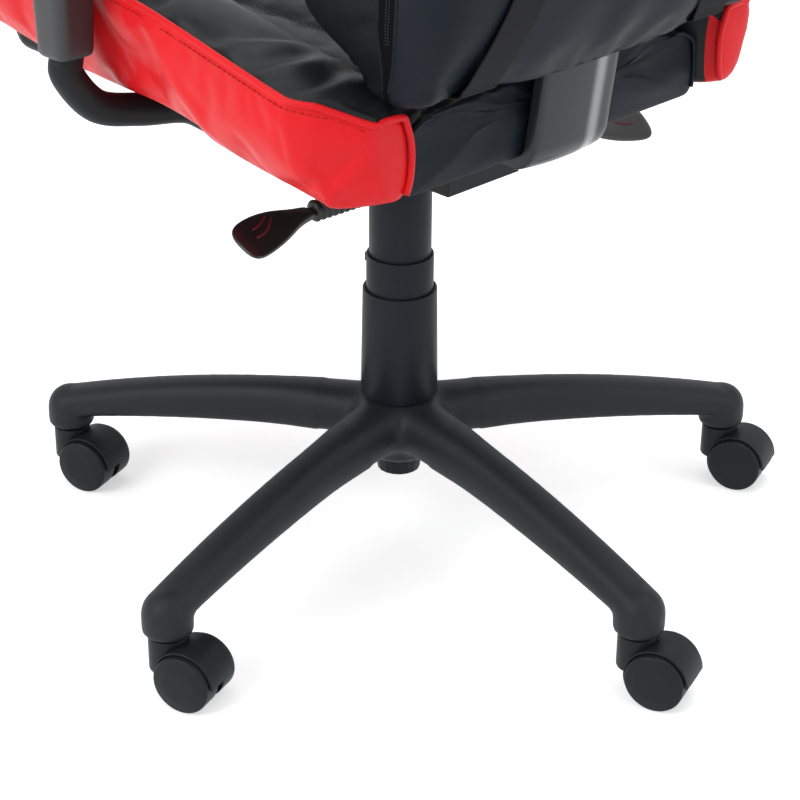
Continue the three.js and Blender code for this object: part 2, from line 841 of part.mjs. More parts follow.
function wound_wire(points, radius, sides) {
  const rings = points.map((point, i) => {
    const before = points[Math.max(0, i - 1)];
    const after = points[Math.min(points.length - 1, i + 1)];
    const along = after.clone().sub(before).normalize();
    const up = new THREE.Vector3(0, 0, 1);
    const out = new THREE.Vector3().crossVectors(along, up).normalize();
    const rise = new THREE.Vector3().crossVectors(out, along);
    const ring = [];
    for (let j = 0; j < sides; j += 1) {
      const turn = (TAU * j) / sides;
      ring.push(point.clone().addScaledVector(out, radius * Math.cos(turn))
        .addScaledVector(rise, radius * Math.sin(turn)).toArray());
    }
    return ring;
  });
  return loft(rings);
}

add('rocking_spring', wound_wire(spring_points(8), spring_wire / 2, 5), material(0x8d9094, 0.35, 1));

// Gap between neighbouring curls, measured on the spring's centre points
function least_spring_gap() {
  const points = spring_points(8);
  let least = Infinity;
  for (let i = 0; i + 8 < points.length; i += 1) {
    for (let j = i + 4; j < points.length; j += 1) {
      least = Math.min(least, points[i].distanceTo(points[j]) - spring_wire);
    }
  }
  return least;
}

console.log('least gap of the rocking spring to itself, mm:', least_spring_gap().toFixed(2));

// Tension knob with its screw, under the front of the housing

function knob_geometry() {
  const shape = new THREE.Shape();
  const points = [];
  const steps = knob_lobes * 6;
  for (let i = 0; i < steps; i += 1) {
    const angle = (TAU * i) / steps;
    const radius = knob_radius - knob_lobe_depth * (0.5 - 0.5 * Math.cos(knob_lobes * angle));
    points.push(new THREE.Vector2(radius * Math.cos(angle), radius * Math.sin(angle)));
  }
  shape.setFromPoints(points);
  const grip_geometry = new THREE.ExtrudeGeometry(shape, { depth: knob_height, bevelEnabled: false });
  grip_geometry.translate(0, 0, housing_bottom_z - touch_gap - knob_height);
  const screw_top = housing_bottom_z + housing_front_height;
  const screw = disc(knob_screw_radius, housing_bottom_z - knob_height / 2, screw_top, 12);
  const washer = disc(spring_radius + spring_wire / 2, screw_top - spring_wire / 2 - touch_gap / 2,
    screw_top + spring_wire / 2, 16);
  const body = solid_of(grip_geometry).add(solid_of(screw)).add(solid_of(washer));
  const geometry = geometry_of(body);
  geometry.translate(0, spring_y, 0);
  return geometry;
}

add('tension_knob', knob_geometry(), nylon());

// Levers: a steel rod through the housing's wall with a moulded paddle, and a ribbed boot round the rod

const boot_outer_x = boot_inner_x + boot_length;
const paddle_inner_x = boot_outer_x + 3 * running_gap;
const paddle_tip_x = paddle_inner_x + paddle_neck + paddle_length;

function lever_line(lever, reach) {
  const share = (reach - housing_half_width) / (paddle_tip_x - housing_half_width);
  return new THREE.Vector3(
    lever.side * reach,
    lerp(lever.root_y, lever.tip_y, share),
    lerp(lever_root_z, lever.tip_z, share),
  );
}

// Widths and heights along the paddle, as shares of its length
const paddle_shares = [
  [0, 0.44, 0.9], [0.16, 0.46, 0.95], [0.3, 0.64, 1], [0.46, 0.85, 1], [0.6, 0.95, 0.98],
  [0.76, 1, 0.9], [0.9, 0.92, 0.7], [0.97, 0.7, 0.5], [1, 0.4, 0.3],
];

function lever_geometry(lever) {
  const start = paddle_inner_x;
  const length = paddle_tip_x - paddle_inner_x;
  const rings = paddle_shares.map(([share, wide, high]) => {
    const centre = lever_line(lever, start + share * length);
    const half = (wide * paddle_width) / 2;
    const thick = (high * paddle_thickness) / 2;
    const sweep = paddle_sweep * share ** 2;
    const roll = rad(lever.roll_deg) * smooth(share, 0, 0.3);
    const corner_shares = [[1, 0], [0.82, 0.75], [0.3, 1], [-0.3, 1], [-0.82, 0.75],
      [-1, 0], [-0.82, -0.75], [0, -1], [0.82, -0.75]];
    return corner_shares.map(([across, up]) => {
      const wide_of = across * half;
      const high_of = up * thick;
      return [
        centre.x,
        centre.y + sweep + wide_of * Math.cos(roll) + high_of * Math.sin(roll),
        centre.z + high_of * Math.cos(roll) - wide_of * Math.sin(roll),
      ];
    });
  });
  const paddle = solid_of(loft(rings));
  const inner_x = housing_half_width - housing_wall - 2 * lever_rod_radius;
  const inside = lever.presses_button ? button_reach(lever) : [lever_line(lever, inner_x)];
  const line = new THREE.CatmullRomCurve3([
    ...inside, lever_line(lever, housing_half_width), lever_line(lever, housing_half_width + 3 * lever_rod_radius),
    lever_line(lever, boot_inner_x), lever_line(lever, paddle_inner_x + paddle_neck),
  ], false, 'centripetal');
  const steps = lever.presses_button ? 20 : 8;
  return geometry_of(paddle.add(solid_of(bar(line, lever_rod_radius, 8, steps))));
}

// Bent end of the height lever's rod, from above the release button to the housing's wall
function button_reach(lever) {
  const high = button_top_z + touch_gap + lever_rod_radius;
  const bend_shares = [[0, -0.05, 1], [0, 0.16, 1], [0, 0.5, 0.62], [0.14, 0.8, 0.24], [0.52, 0.97, 0.04]];
  return bend_shares.map(([across, back, up]) => new THREE.Vector3(
    lever.side * across * housing_half_width,
    back * lever.root_y,
    lerp(lever_root_z, high, up),
  ));
}

function boot_geometry(lever) {
  const start = lever_line(lever, boot_inner_x);
  const end = lever_line(lever, boot_outer_x);
  const along = end.clone().sub(start);
  const pitch = 1 / boot_ribs;
  const outer = [];
  for (let i = 0; i < boot_ribs; i += 1) {
    outer.push([(i + 0.28) * pitch, boot_radius], [(i + 0.86) * pitch, boot_radius - boot_groove]);
  }
  const profile = [[0, boot_radius - boot_groove], ...outer, [1, boot_radius - boot_groove]];
  const bore = lever_rod_radius + running_gap;
  const bore_profile = [[1, bore], [0.5, bore], [0, bore]];
  const across = new THREE.Vector3(0, 0, 1).cross(along).normalize();
  const up = along.clone().cross(across).normalize();
  const ring = ([share, radius]) => {
    const points = [];
    for (let j = 0; j < 8; j += 1) {
      const turn = (TAU * (j + 0.5)) / 8;
      points.push(start.clone().addScaledVector(along, share)
        .addScaledVector(across, radius * Math.cos(turn))
        .addScaledVector(up, radius * Math.sin(turn)).toArray());
    }
    return points;
  };
  return loft([...profile.map(ring), ...bore_profile.map(ring)], true);
}

for (const lever of levers) {
  add(lever.name, lever_geometry(lever), material(0x131416, 0.2, 0));
  add(`${lever.name}_boot`, boot_geometry(lever), material(0x141414, 0.7, 0));
}

// Seat: a plywood board in the foam centre cushion, with a bolster on each side

const board_low_z = plate_top_z + touch_gap;
const board_high_z = board_low_z + board_thickness;
add('seat_board', block(-board_half_width, board_half_width, board_front_y, board_back_y,
  board_low_z, board_high_z), material(0xb08a5a, 0.8, 0));

// Route of an armrest tube from under the board, round the bolster and up its post
function arm_curve(side, lift = 0) {
  return new THREE.CatmullRomCurve3([
    [arm_plate_inner_x + arm_tube_radius / 2, arm_low_z],
    [arm_plate_outer_x, arm_low_z + arm_plate_rise],
    [arm_bend_x, arm_bend_z],
    [arm_level_x, arm_level_z],
    [lerp(arm_level_x, arm_post_x, 0.62), lerp(arm_level_z, arm_post_low_z, 0.22)],
    [arm_post_x, lerp(arm_level_z, arm_post_low_z, 0.72)],
    [arm_post_x, arm_post_low_z],
    [arm_post_x, arm_post_low_z + 2 * arm_tube_radius],
    [arm_post_x, sleeve_top_z - 2 * arm_tube_radius],
  ].map(([x, z]) => new THREE.Vector3(side * x, arm_y, z + lift)), false, 'centripetal');
}

function arm_room(side) {
  return solid_of(bar(arm_curve(side), arm_tube_radius + 3 * running_gap, 10, 22));
}

// Share of a soft piece's length over which its ends are drawn in
const end_share = 0.055;

function seat_ring(y, half_width, low_z, top_z, round) {
  const ring = [];
  const half_low = half_width - round / 3;
  ring.push([half_low - round, y, low_z], [half_low, y, low_z + round / 2]);
  ring.push([half_width, y, lerp(low_z, top_z, 0.5)]);
  ring.push([half_width - round * 0.25, y, top_z - round * 0.45]);
  const top_count = 4 * channel_count;
  const top_half = half_width - round;
  for (let i = 0; i <= top_count; i += 1) {
    const x = lerp(top_half, -top_half, i / top_count);
    const crown = seat_crown * Math.cos((TAU / 4) * (x / half_width));
    const near = (x + (channel_pitch * (channel_count - 1)) / 2) / channel_pitch;
    const off = Math.abs(near - Math.round(near));
    const inside = near > -0.5 && near < channel_count - 0.5 ? 1 : 0;
    const dip = inside * channel_depth * Math.max(0, 1 - off * 4);
    ring.push([x, y, top_z + crown - dip - (i === 0 || i === top_count ? round * 0.1 : 0)]);
  }
  ring.push([-half_width + round * 0.25, y, top_z - round * 0.45]);
  ring.push([-half_width, y, lerp(low_z, top_z, 0.5)]);
  ring.push([-half_low, y, low_z + round / 2], [-half_low + round, y, low_z]);
  ring.push([0, y, low_z]);
  return ring;
}

function seat_cushion_geometry() {
  const shares = [0, 0.012, 0.05, 0.16, 0.3, 0.46, 0.62, 0.76, 0.87, 0.94, 0.98, 1];
  const rings = shares.map((share) => {
    const y = lerp(seat_back_y, seat_front_y, share);
    const half = lerp(seat_back_half_width, seat_front_half_width, smooth(share, 0.1, 0.9));
    const end = Math.min(share, 1 - share);
    const tuck = end < end_share ? (1 - end / end_share) ** 2 * seat_edge_round * 0.6 : 0;
    const drop = seat_front_drop * smooth(share, 0.72, 1) + seat_back_drop * (1 - smooth(share, 0, 0.2));
    return seat_ring(y, half - tuck, board_low_z + tuck * 0.5, seat_top_z - drop - tuck, seat_edge_round);
  });
  const pocket = block(-board_half_width - touch_gap, board_half_width + touch_gap,
    board_front_y - touch_gap, board_back_y + touch_gap,
    plate_top_z - cut_over, board_high_z + touch_gap);
  let body = solid_of(loft(rings)).subtract(solid_of(pocket));
  for (const side of [-1, 1]) {
    body = body.subtract(arm_room(side));
  }
  return geometry_of(body);
}

add('seat_cushion', seat_cushion_geometry(), black_vinyl());

// Height along a bolster, between its values at the back, the middle and the front
function along_bolster(share, back, middle, front) {
  return share < 0.5
    ? lerp(back, middle, smooth(share, -0.1, 0.5))
    : lerp(middle, front, smooth(share, 0.5, 1.1));
}

function bolster_ring(side, share) {
  const y = lerp(bolster_back_y, bolster_front_y, share);
  const along_seat = (seat_back_y - y) / (seat_back_y - seat_front_y);
  const gap = lerp(bolster_gap, bolster_seam_gap, smooth(share, 0.02, 0.12));
  const inner_low = lerp(seat_back_half_width, seat_front_half_width, smooth(along_seat, 0.1, 0.9)) + gap;
  const waist = bolster_waist * Math.exp(-(((y - bolster_waist_y) / bolster_waist_length) ** 2));
  const end = Math.min(share, 1 - share);
  const tuck_share = end < end_share ? (1 - end / end_share) ** 2 : 0;
  const tuck = tuck_share * bolster_gap * 1.6;
  const back_draw = (bolster_outer_x - bolster_back_x) * (1 - smooth(share, 0, 0.09));
  const outer = bolster_outer_x - waist - back_draw - tuck;
  const under = Math.min(bolster_under_x, outer - 2 * bolster_bulge) - waist;
  const low = along_bolster(share, bolster_back_low_z, bolster_middle_low_z, bolster_front_low_z) + tuck / 2;
  const top = along_bolster(share, bolster_back_top_z, bolster_middle_top_z, bolster_front_top_z) - tuck;
  const pucker = bolster_pucker * Math.sin(TAU * bolster_pucker_turns * share) * smooth(share, 0.04, 0.1) * (1 - smooth(share, 0.05, 0.4));
  const inner = inner_low + tuck;
  const crest_x = lerp(inner, outer, 0.42);
  const crown = bolster_crown * smooth(share, 0, 0.16);
  const inner_top = Math.min(top - bolster_crown, seat_top_z + bolster_crown + (top - bolster_back_top_z) * 0.35);
  return [
    [inner + bolster_gap, low], [under - bolster_gap, low], [under, low + bolster_bulge / 2],
    [lerp(under, outer, 0.8), lerp(low, top, 0.42)], [outer + bolster_bulge * 0.2, lerp(low, top, 0.76)],
    [outer, top - bolster_edge_drop], [outer - bolster_bulge, top + bolster_edge_rise],
    [lerp(crest_x, outer, 0.5), top + crown * 0.6 + pucker * 0.6], [crest_x, top + crown * 0.4 + pucker],
    [lerp(inner, crest_x, 0.4), lerp(inner_top, top, 0.7) + pucker * 0.5],
    [inner + bolster_gap * 0.4, inner_top], [inner, lerp(low, inner_top, 0.62)],
    [inner + bolster_gap * 0.2, low + bolster_bulge],
  ].map(([x, z]) => [side * x, y, z]);
}

function bolster_geometry(side) {
  const rings = [];
  const shares = [0, 0.008, 0.03, 0.07, 0.11, 0.15, 0.2, 0.25, 0.3, 0.36, 0.44, 0.52, 0.6, 0.7, 0.8,
    0.88, 0.94, 0.975, 0.993, 1];
  shares.forEach((share) => rings.push(bolster_ring(side, share)));
  return geometry_of(solid_of(loft(rings)).subtract(arm_room(side)));
}

for (const [label, side] of [['left', 1], ['right', -1]]) {
  add(`seat_bolster_${label}`, bolster_geometry(side), red_vinyl());
}

// Backrest: one padded shell that leans back, with side wings and two shoulder slots

const lean_slope = Math.tan(rad(back_lean_deg));

function back_rear_y(z) {
  const rise = THREE.MathUtils.clamp((z - back_foot_z) / back_belly_height, 0, 1);
  return back_foot_y + back_belly * (1 - (1 - rise) ** 2) + (z - back_foot_z) * lean_slope;
}

function back_half_width(z) {
  if (z < back_shoulder_z) {
    return lerp(back_foot_half_width, back_shoulder_half_width, smooth(z, back_foot_z, back_shoulder_z));
  }
  if (z < back_neck_z) {
    return lerp(back_shoulder_half_width, back_neck_half_width, smooth(z, back_shoulder_z, back_neck_z));
  }
  return lerp(back_neck_half_width, back_head_half_width, smooth(z, back_neck_z, back_top_z));
}

function back_wing(z) {
  const low = back_thickness * 0.7;
  const grown = lerp(low, back_wing_depth, smooth(z, back_foot_z - back_belly_height / 4, back_foot_z + back_belly_height));
  return lerp(grown, back_thickness * 1.05, smooth(z, back_shoulder_z - back_belly_height, back_neck_z));
}

// Outline across the back at a height, grown outward by a margin
function back_ring(share, grow) {
  const z = lerp(back_foot_z, back_top_z, share);
  const end = Math.min(share * 2, (1 - share) * 1.4);
  const tuck_share = end < end_share ? (1 - end / end_share) ** 2 : 0;
  const tuck = tuck_share * back_thickness * 0.2;
  const half = back_half_width(z) - tuck;
  const wing = back_wing(z) - tuck;
  const middle = Math.min(back_thickness, wing) - tuck * 0.3;
  const start = tuck;
  const side = Math.min(back_thickness / 3, (wing - start) * 0.36);
  const edge = back_thickness;
  const right = [
    [0, start], [half * 0.45, start + side * 0.04], [half - side * 1.15, start + side * 0.22],
    [half - side * 0.3, start + side * 0.6], [half, start + side * 1.25], [half, lerp(start, wing, 0.55)],
    [half - side * 0.35, wing - side * 0.45], [half - side * 0.95, wing],
    [half - side * 1.7, wing - side * 0.3], [half - edge, lerp(wing, middle, 0.7)],
    [half - edge * 1.3, middle], [half * 0.3, middle - side * 0.08],
  ];
  const left = right.slice(1).map(([x, forward]) => [-x, forward]).reverse();
  const front = [[0, middle - side * 0.1]];
  const z_end = z + (share === 0 ? -grow : 0) + (share === 1 ? grow : 0);
  const rear = back_rear_y(z);
  return widened([...right, ...front, ...left], grow).map(([x, forward]) => {
    const lift = back_foot_lift * (x / half) ** 2 * (1 - smooth(share, 0, 0.2));
    return [x, rear - forward, z_end + lift];
  });
}

// Closed outline moved outward by a margin, corner by corner
function widened(outline, margin) {
  const count = outline.length;
  return outline.map(([x, y], i) => {
    const here = new THREE.Vector2(x, y);
    const before = here.clone().sub(new THREE.Vector2(...outline[(i + count - 1) % count])).normalize();
    const after = new THREE.Vector2(...outline[(i + 1) % count]).sub(here).normalize();
    const out = new THREE.Vector2(before.y + after.y, -before.x - after.x).normalize();
    const spread = margin / Math.max(0.5, out.dot(new THREE.Vector2(after.y, -after.x)));
    return [x + out.x * spread, y + out.y * spread];
  });
}

const back_shares = [0, 0.004, 0.012, 0.028, 0.05, 0.08, 0.12, 0.18, 0.27, 0.38, 0.5, 0.6, 0.66,
  0.71, 0.76, 0.81, 0.87, 0.93, 0.965, 0.985, 0.996, 1];

function back_solid(grow) {
  return solid_of(loft(back_shares.map((share) => back_ring(share, grow))));
}

// Strip in side view that follows the back bracket, between two offsets from its middle line
const bracket_path_radius = bracket_bend_radius + bracket_thickness / 2;
const bracket_low_z = plate_top_z - bracket_thickness / 2;
const bend_y = bracket_rear_y - (bracket_path_radius + bracket_thickness / 2);
const bend_z = bracket_low_z + bracket_path_radius;

function bracket_strip(inner, outer, front_y, top_z, half_width) {
  const steps = 6;
  const sweep = TAU / 4 - rad(back_lean_deg);
  const line = (offset) => {
    const radius = bracket_path_radius + offset;
    const points = [[front_y, bracket_low_z - offset]];
    for (let i = 0; i <= steps; i += 1) {
      const angle = -TAU / 4 + (sweep * i) / steps;
      points.push([bend_y + radius * Math.cos(angle), bend_z + radius * Math.sin(angle)]);
    }
    const [last_y, last_z] = points[points.length - 1];
    points.push([last_y + (top_z - last_z) * lean_slope, top_z]);
    return points;
  };
  return solid_of(side_plate([...line(outer), ...line(inner).reverse()], -half_width, half_width));
}

const half_bracket = bracket_thickness / 2;
const bracket_room = bracket_strip(-half_bracket - running_gap, half_bracket + running_gap,
  bracket_front_y, bracket_top_z + running_gap, bracket_half_width + running_gap);
add('back_bracket', geometry_of(bracket_strip(-half_bracket, half_bracket, bracket_front_y,
  bracket_top_z, bracket_half_width)), black_steel());

const cover_outer = half_bracket + 4 * running_gap + bracket_cover_wall;
const cover_shell = bracket_strip(-half_bracket + running_gap, cover_outer, bracket_cover_front_y,
  bracket_cover_top_z, bracket_cover_half_width);
const cover_room = bracket_strip(-2 * bracket_thickness, cover_outer - bracket_cover_wall,
  bracket_cover_front_y - cut_over, bracket_cover_top_z + cut_over,
  bracket_cover_half_width - bracket_cover_wall);
add('bracket_cover', geometry_of(cover_shell.subtract(cover_room)), nylon());

function slot_cutter(side) {
  const shape = new THREE.Shape();
  const half = slot_length / 2 - slot_height / 2;
  shape.absarc(half, 0, slot_height / 2, -TAU / 4, TAU / 4, false);
  shape.absarc(-half, 0, slot_height / 2, TAU / 4, (TAU * 3) / 4, false);
  shape.closePath();
  const depth = 3 * back_thickness;
  const geometry = new THREE.ExtrudeGeometry(shape, { depth, bevelEnabled: false, curveSegments: 6 });
  geometry.rotateX(TAU / 4);
  geometry.translate(side * slot_x, back_rear_y(slot_z) + depth / 2, slot_z);
  return solid_of(geometry);
}

function backrest_solid() {
  let body = back_solid(0).subtract(bracket_room);
  for (const side of [-1, 1]) {
    body = body.subtract(slot_cutter(side));
  }
  return body;
}

add('backrest', geometry_of(backrest_solid()), black_vinyl());

// Pillow straps: a band round the back, up its rear face, through the slot and down its front

const strap_clear = 2 * touch_gap;

function strap_geometry(side) {
  const high = slot_z - slot_height / 4;
  const low = back_foot_z - back_thickness / 4;
  const slab_ring = (z) => {
    const share = (z - back_foot_z) / (slot_z - back_foot_z);
    const x = side * lerp(strap_foot_x, strap_slot_x, share);
    const half = strap_width / 2;
    const depth = 2 * back_wing_depth;
    const rear = back_rear_y(z);
    return [[x - half, rear - depth, z], [x + half, rear - depth, z],
      [x + half, rear + depth, z], [x - half, rear + depth, z]];
  };
  const slab = solid_of(loft([slab_ring(low), slab_ring(high)]));
  const band = back_solid(strap_clear + strap_thickness).intersect(slab).subtract(back_solid(strap_clear));
  const rear = back_rear_y(high) + strap_clear + strap_thickness / 2;
  const front = back_rear_y(high) - back_thickness - strap_clear - strap_thickness / 2;
  const x = side * lerp(strap_foot_x, strap_slot_x, (high - back_foot_z) / (slot_z - back_foot_z));
  const through = block(x - strap_width / 2, x + strap_width / 2, front, rear,
    high - strap_thickness, high);
  let body = band.add(solid_of(through));
  for (const shift of [[0, 0, -touch_gap], [0, touch_gap, 0], [0, -touch_gap, 0]]) {
    body = body.subtract(backrest_solid().translate(...shift));
  }
  return geometry_of(largest_piece(body));
}

// Main body of a cut, without the slivers that the cut leaves
function largest_piece(solid) {
  return solid.decompose().reduce((most, piece) => (piece.volume() > most.volume() ? piece : most));
}

add('strap_left', strap_geometry(1), material(0x141517, 0.85, 0));
add('strap_right', strap_geometry(-1), material(0x141517, 0.85, 0));

// Lumbar pillow in front of the straps
function pillow_geometry() {
  const across_shares = [-1, -0.97, -0.88, -0.7, -0.4, 0, 0.4, 0.7, 0.88, 0.97, 1];
  const front = back_rear_y(pillow_z) - back_thickness;
  const rings = across_shares.map((share) => {
    const swell = Math.sqrt(Math.max(0, 1 - Math.abs(share) ** 2.6));
    const high = pillow_half_height * (0.62 + 0.38 * swell);
    const thick = pillow_thickness * (0.16 + 0.84 * swell);
    const ring = [];
    for (let i = 0; i < 16; i += 1) {
      const turn = (TAU * (i + 0.5)) / 16;
      const cos = Math.cos(turn);
      const sin = Math.sin(turn);
      const z = high * Math.sign(sin) * Math.abs(sin) ** 0.7;
      const y = (thick / 2) * Math.sign(cos) * Math.abs(cos) ** 0.8;
      ring.push([share * pillow_half_width, front - pillow_thickness * 0.28 + y + z * lean_slope, pillow_z + z]);
    }
    return ring;
  });
  const room = back_solid(strap_clear + strap_thickness + 2 * touch_gap);
  return geometry_of(solid_of(loft(rings)).subtract(room));
}

add('lumbar_pillow', pillow_geometry(), red_vinyl());

// Armrests: bent steel tube on a plate under the board, plastic sleeve and padded top

function sleeve_ring(z, half_x, half_y) {
  const corner_shares = [[1, 0.5], [0.86, 0.86], [0.5, 1], [-0.5, 1], [-0.86, 0.86], [-1, 0.5],
    [-1, -0.5], [-0.86, -0.86], [-0.5, -1], [0.5, -1], [0.86, -0.86], [1, -0.5]];
  return corner_shares.map(([x, y]) => [x * half_x, y * half_y, z]);
}

function arm_geometry(side) {
  const tube = solid_of(bar(arm_curve(side), arm_tube_radius, 10, 22));
  const inner = side * arm_plate_inner_x;
  const outer = side * arm_plate_outer_x;
  const plate_high_z = plate_top_z;
  const plate = block(Math.min(inner, outer), Math.max(inner, outer), arm_y - arm_plate_length / 2,
    arm_y + arm_plate_length / 2, plate_high_z - arm_plate_thickness, plate_high_z);
  return geometry_of(tube.add(solid_of(plate)));
}

function arm_sleeve_geometry() {
  const foot = sleeve_foot_half_width;
  const rings = [
    sleeve_ring(arm_post_low_z, foot - 2 * running_gap, foot - 2 * running_gap),
    sleeve_ring(arm_post_low_z + 4 * running_gap, foot, foot),
    sleeve_ring(lerp(arm_post_low_z, sleeve_top_z, 0.5),
      lerp(foot, sleeve_top_half_width, 0.5), lerp(foot, sleeve_top_half_width, 0.8)),
    sleeve_ring(sleeve_top_z, sleeve_top_half_width, sleeve_top_half_width * 1.6),
  ];
  const bore = disc(arm_tube_radius + 2 * running_gap, arm_post_low_z - cut_over,
    sleeve_top_z - 2 * arm_tube_radius + running_gap, 16);
  return geometry_of(solid_of(loft(rings)).subtract(solid_of(bore)));
}

function arm_pad_geometry() {
  const low = sleeve_top_z + touch_gap;
  const length_shares = [-1, -0.985, -0.93, -0.8, 0, 0.8, 0.93, 0.985, 1];
  const rings = length_shares.map((share) => {
    const round = Math.sqrt(Math.max(0, 1 - Math.abs(share) ** 8));
    const half = (arm_pad_width / 2) * (0.55 + 0.45 * round);
    const thick = arm_pad_thickness * (0.5 + 0.5 * round);
    const y = (share * arm_pad_length) / 2;
    const profile_shares = [[0.86, 0], [1, 0.3], [0.96, 0.75], [0.7, 0.97], [0, 1.04],
      [-0.7, 0.97], [-0.96, 0.75], [-1, 0.3], [-0.86, 0]];
    return profile_shares.map(([x, z]) => [x * half, y, low + z * thick]);
  });
  return loft(rings);
}

for (const [label, side] of [['left', 1], ['right', -1]]) {
  add(`arm_tube_${label}`, arm_geometry(side), black_steel());
  const sleeve = add(`arm_sleeve_${label}`, arm_sleeve_geometry(), nylon());
  sleeve.position.set(side * arm_post_x, arm_y, 0);
  const pad = add(`arm_pad_${label}`, arm_pad_geometry(), black_vinyl());
  pad.position.set(side * arm_post_x, arm_y - arm_pad_overhang, 0);
}

export default chair;
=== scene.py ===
import math

import bmesh
import bpy
from mathutils import Euler, Matrix, Vector, noise


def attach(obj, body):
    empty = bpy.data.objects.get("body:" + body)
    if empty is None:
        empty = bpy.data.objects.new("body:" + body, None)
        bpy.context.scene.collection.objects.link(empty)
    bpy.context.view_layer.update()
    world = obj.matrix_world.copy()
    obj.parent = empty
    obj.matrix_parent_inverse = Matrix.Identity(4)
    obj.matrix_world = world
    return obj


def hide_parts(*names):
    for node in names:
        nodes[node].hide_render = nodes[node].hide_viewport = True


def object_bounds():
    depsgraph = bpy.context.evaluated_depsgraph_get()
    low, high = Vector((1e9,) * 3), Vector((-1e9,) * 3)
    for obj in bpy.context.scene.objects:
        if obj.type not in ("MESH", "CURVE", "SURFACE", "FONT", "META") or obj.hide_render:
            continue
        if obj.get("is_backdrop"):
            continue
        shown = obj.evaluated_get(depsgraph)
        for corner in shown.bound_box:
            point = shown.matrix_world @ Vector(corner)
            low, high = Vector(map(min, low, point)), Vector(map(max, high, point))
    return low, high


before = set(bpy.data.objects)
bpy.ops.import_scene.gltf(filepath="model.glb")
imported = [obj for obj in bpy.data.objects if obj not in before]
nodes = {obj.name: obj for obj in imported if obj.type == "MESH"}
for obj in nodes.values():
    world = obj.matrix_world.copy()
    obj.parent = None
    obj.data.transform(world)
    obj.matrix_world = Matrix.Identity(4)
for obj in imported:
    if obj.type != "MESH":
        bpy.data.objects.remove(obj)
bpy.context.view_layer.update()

# Camera. The chair is seen from behind its left side and from above its seat, as fitted to the
# five legs, the castors and the rims of the column cover.
MM = 0.001
axis = Vector((-6, -26, 0))
camera_place = Vector((1258.0, 1246.5, 1059.3)) * MM
camera_target = Vector((-6.6, -25.4, 131.0)) * MM
camera_roll = math.radians(0.43)
camera_data = bpy.data.cameras.new("camera")
camera_data.sensor_width = 36
camera_data.lens = 102.58
camera = bpy.data.objects.new("camera", camera_data)
bpy.context.scene.collection.objects.link(camera)
look = (camera_target - camera_place).to_track_quat("-Z", "Y").to_matrix()
camera.matrix_world = Matrix.Translation(camera_place) @ (look @ Matrix.Rotation(camera_roll, 3, "Z")).to_4x4()
bpy.context.scene.camera = camera
bpy.context.scene.view_settings.view_transform = "Standard"


# Floor and backdrop. One wide sheet of pale paper, which the camera and the glossy pieces see as
# white, and which still takes the chair's soft shadow.
def seen_directly(tree):
    """Share that is 1 where the camera, a reflection or a clear piece looks straight at a surface."""
    path = tree.nodes.new("ShaderNodeLightPath")
    glossy = tree.nodes.new("ShaderNodeMath")
    glossy.operation = "MAXIMUM"
    both = tree.nodes.new("ShaderNodeMath")
    both.operation = "MAXIMUM"
    tree.links.new(path.outputs["Is Camera Ray"], glossy.inputs[0])
    tree.links.new(path.outputs["Is Glossy Ray"], glossy.inputs[1])
    tree.links.new(glossy.outputs[0], both.inputs[0])
    tree.links.new(path.outputs["Is Transmission Ray"], both.inputs[1])
    return both.outputs[0]


floor_half = 9.0
paper = bpy.data.materials.new("pale_paper")
paper.use_nodes = True
paper_tree = paper.node_tree
paper_shader = paper_tree.nodes["Principled BSDF"]
paper_shader.inputs["Base Color"].default_value = (0.86, 0.865, 0.87, 1)
paper_shader.inputs["Roughness"].default_value = 0.9
paper_shader.inputs["Specular IOR Level"].default_value = 0.0
paper_shader.inputs["Emission Color"].default_value = (1, 1, 1, 1)
paper_glow = paper_tree.nodes.new("ShaderNodeMath")
paper_glow.operation = "MULTIPLY"
paper_glow.inputs[1].default_value = 0.5
paper_tree.links.new(seen_directly(paper_tree), paper_glow.inputs[0])
paper_tree.links.new(paper_glow.outputs[0], paper_shader.inputs["Emission Strength"])
floor_bm = bmesh.new()
bmesh.ops.create_grid(floor_bm, x_segments=1, y_segments=1, size=floor_half)
floor_mesh = bpy.data.meshes.new("floor")
floor_bm.to_mesh(floor_mesh)
floor_bm.free()
floor_mesh.materials.append(paper)
floor = bpy.data.objects.new("floor", floor_mesh)
bpy.context.scene.collection.objects.link(floor)
floor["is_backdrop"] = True

world = bpy.data.worlds.new("studio")
world.use_nodes = True
world_tree = world.node_tree
world_light = world_tree.nodes["Background"]
world_light.inputs["Color"].default_value = (0.98, 0.99, 1.0, 1)
world_level = world_tree.nodes.new("ShaderNodeMapRange")
world_level.inputs["To Min"].default_value = 0.55
world_level.inputs["To Max"].default_value = 1.0
world_tree.links.new(seen_directly(world_tree), world_level.inputs["Value"])
world_tree.links.new(world_level.outputs["Result"], world_light.inputs["Strength"])
bpy.context.scene.world = world


# Lights. Three soft boxes: a large one from the chair's left, one overhead, and a narrow upright
# one behind the chair. The streak on the bracket cover does not come from this light; it is a painted highlight.
def soft_box(name, place, aim, width, height, power):
    data = bpy.data.lights.new(name, "AREA")
    data.shape = "RECTANGLE"
    data.size = width
    data.size_y = height
    data.energy = power
    light = bpy.data.objects.new(name, data)
    turn = (Vector(aim) - Vector(place)).to_track_quat("-Z", "Y")
    light.matrix_world = Matrix.Translation(Vector(place)) @ turn.to_matrix().to_4x4()
    bpy.context.scene.collection.objects.link(light)
    return light


chair_middle = (0.0, 0.0, 0.35)
soft_box("side_light", (2.3, -0.3, 1.7), chair_middle, 1.5, 1.5, 34)
soft_box("top_light", (-0.3, 0.2, 3.0), chair_middle, 2.4, 2.4, 44)
soft_box("rear_light", (-0.9, 2.4, 1.2), chair_middle, 0.5, 1.8, 12)


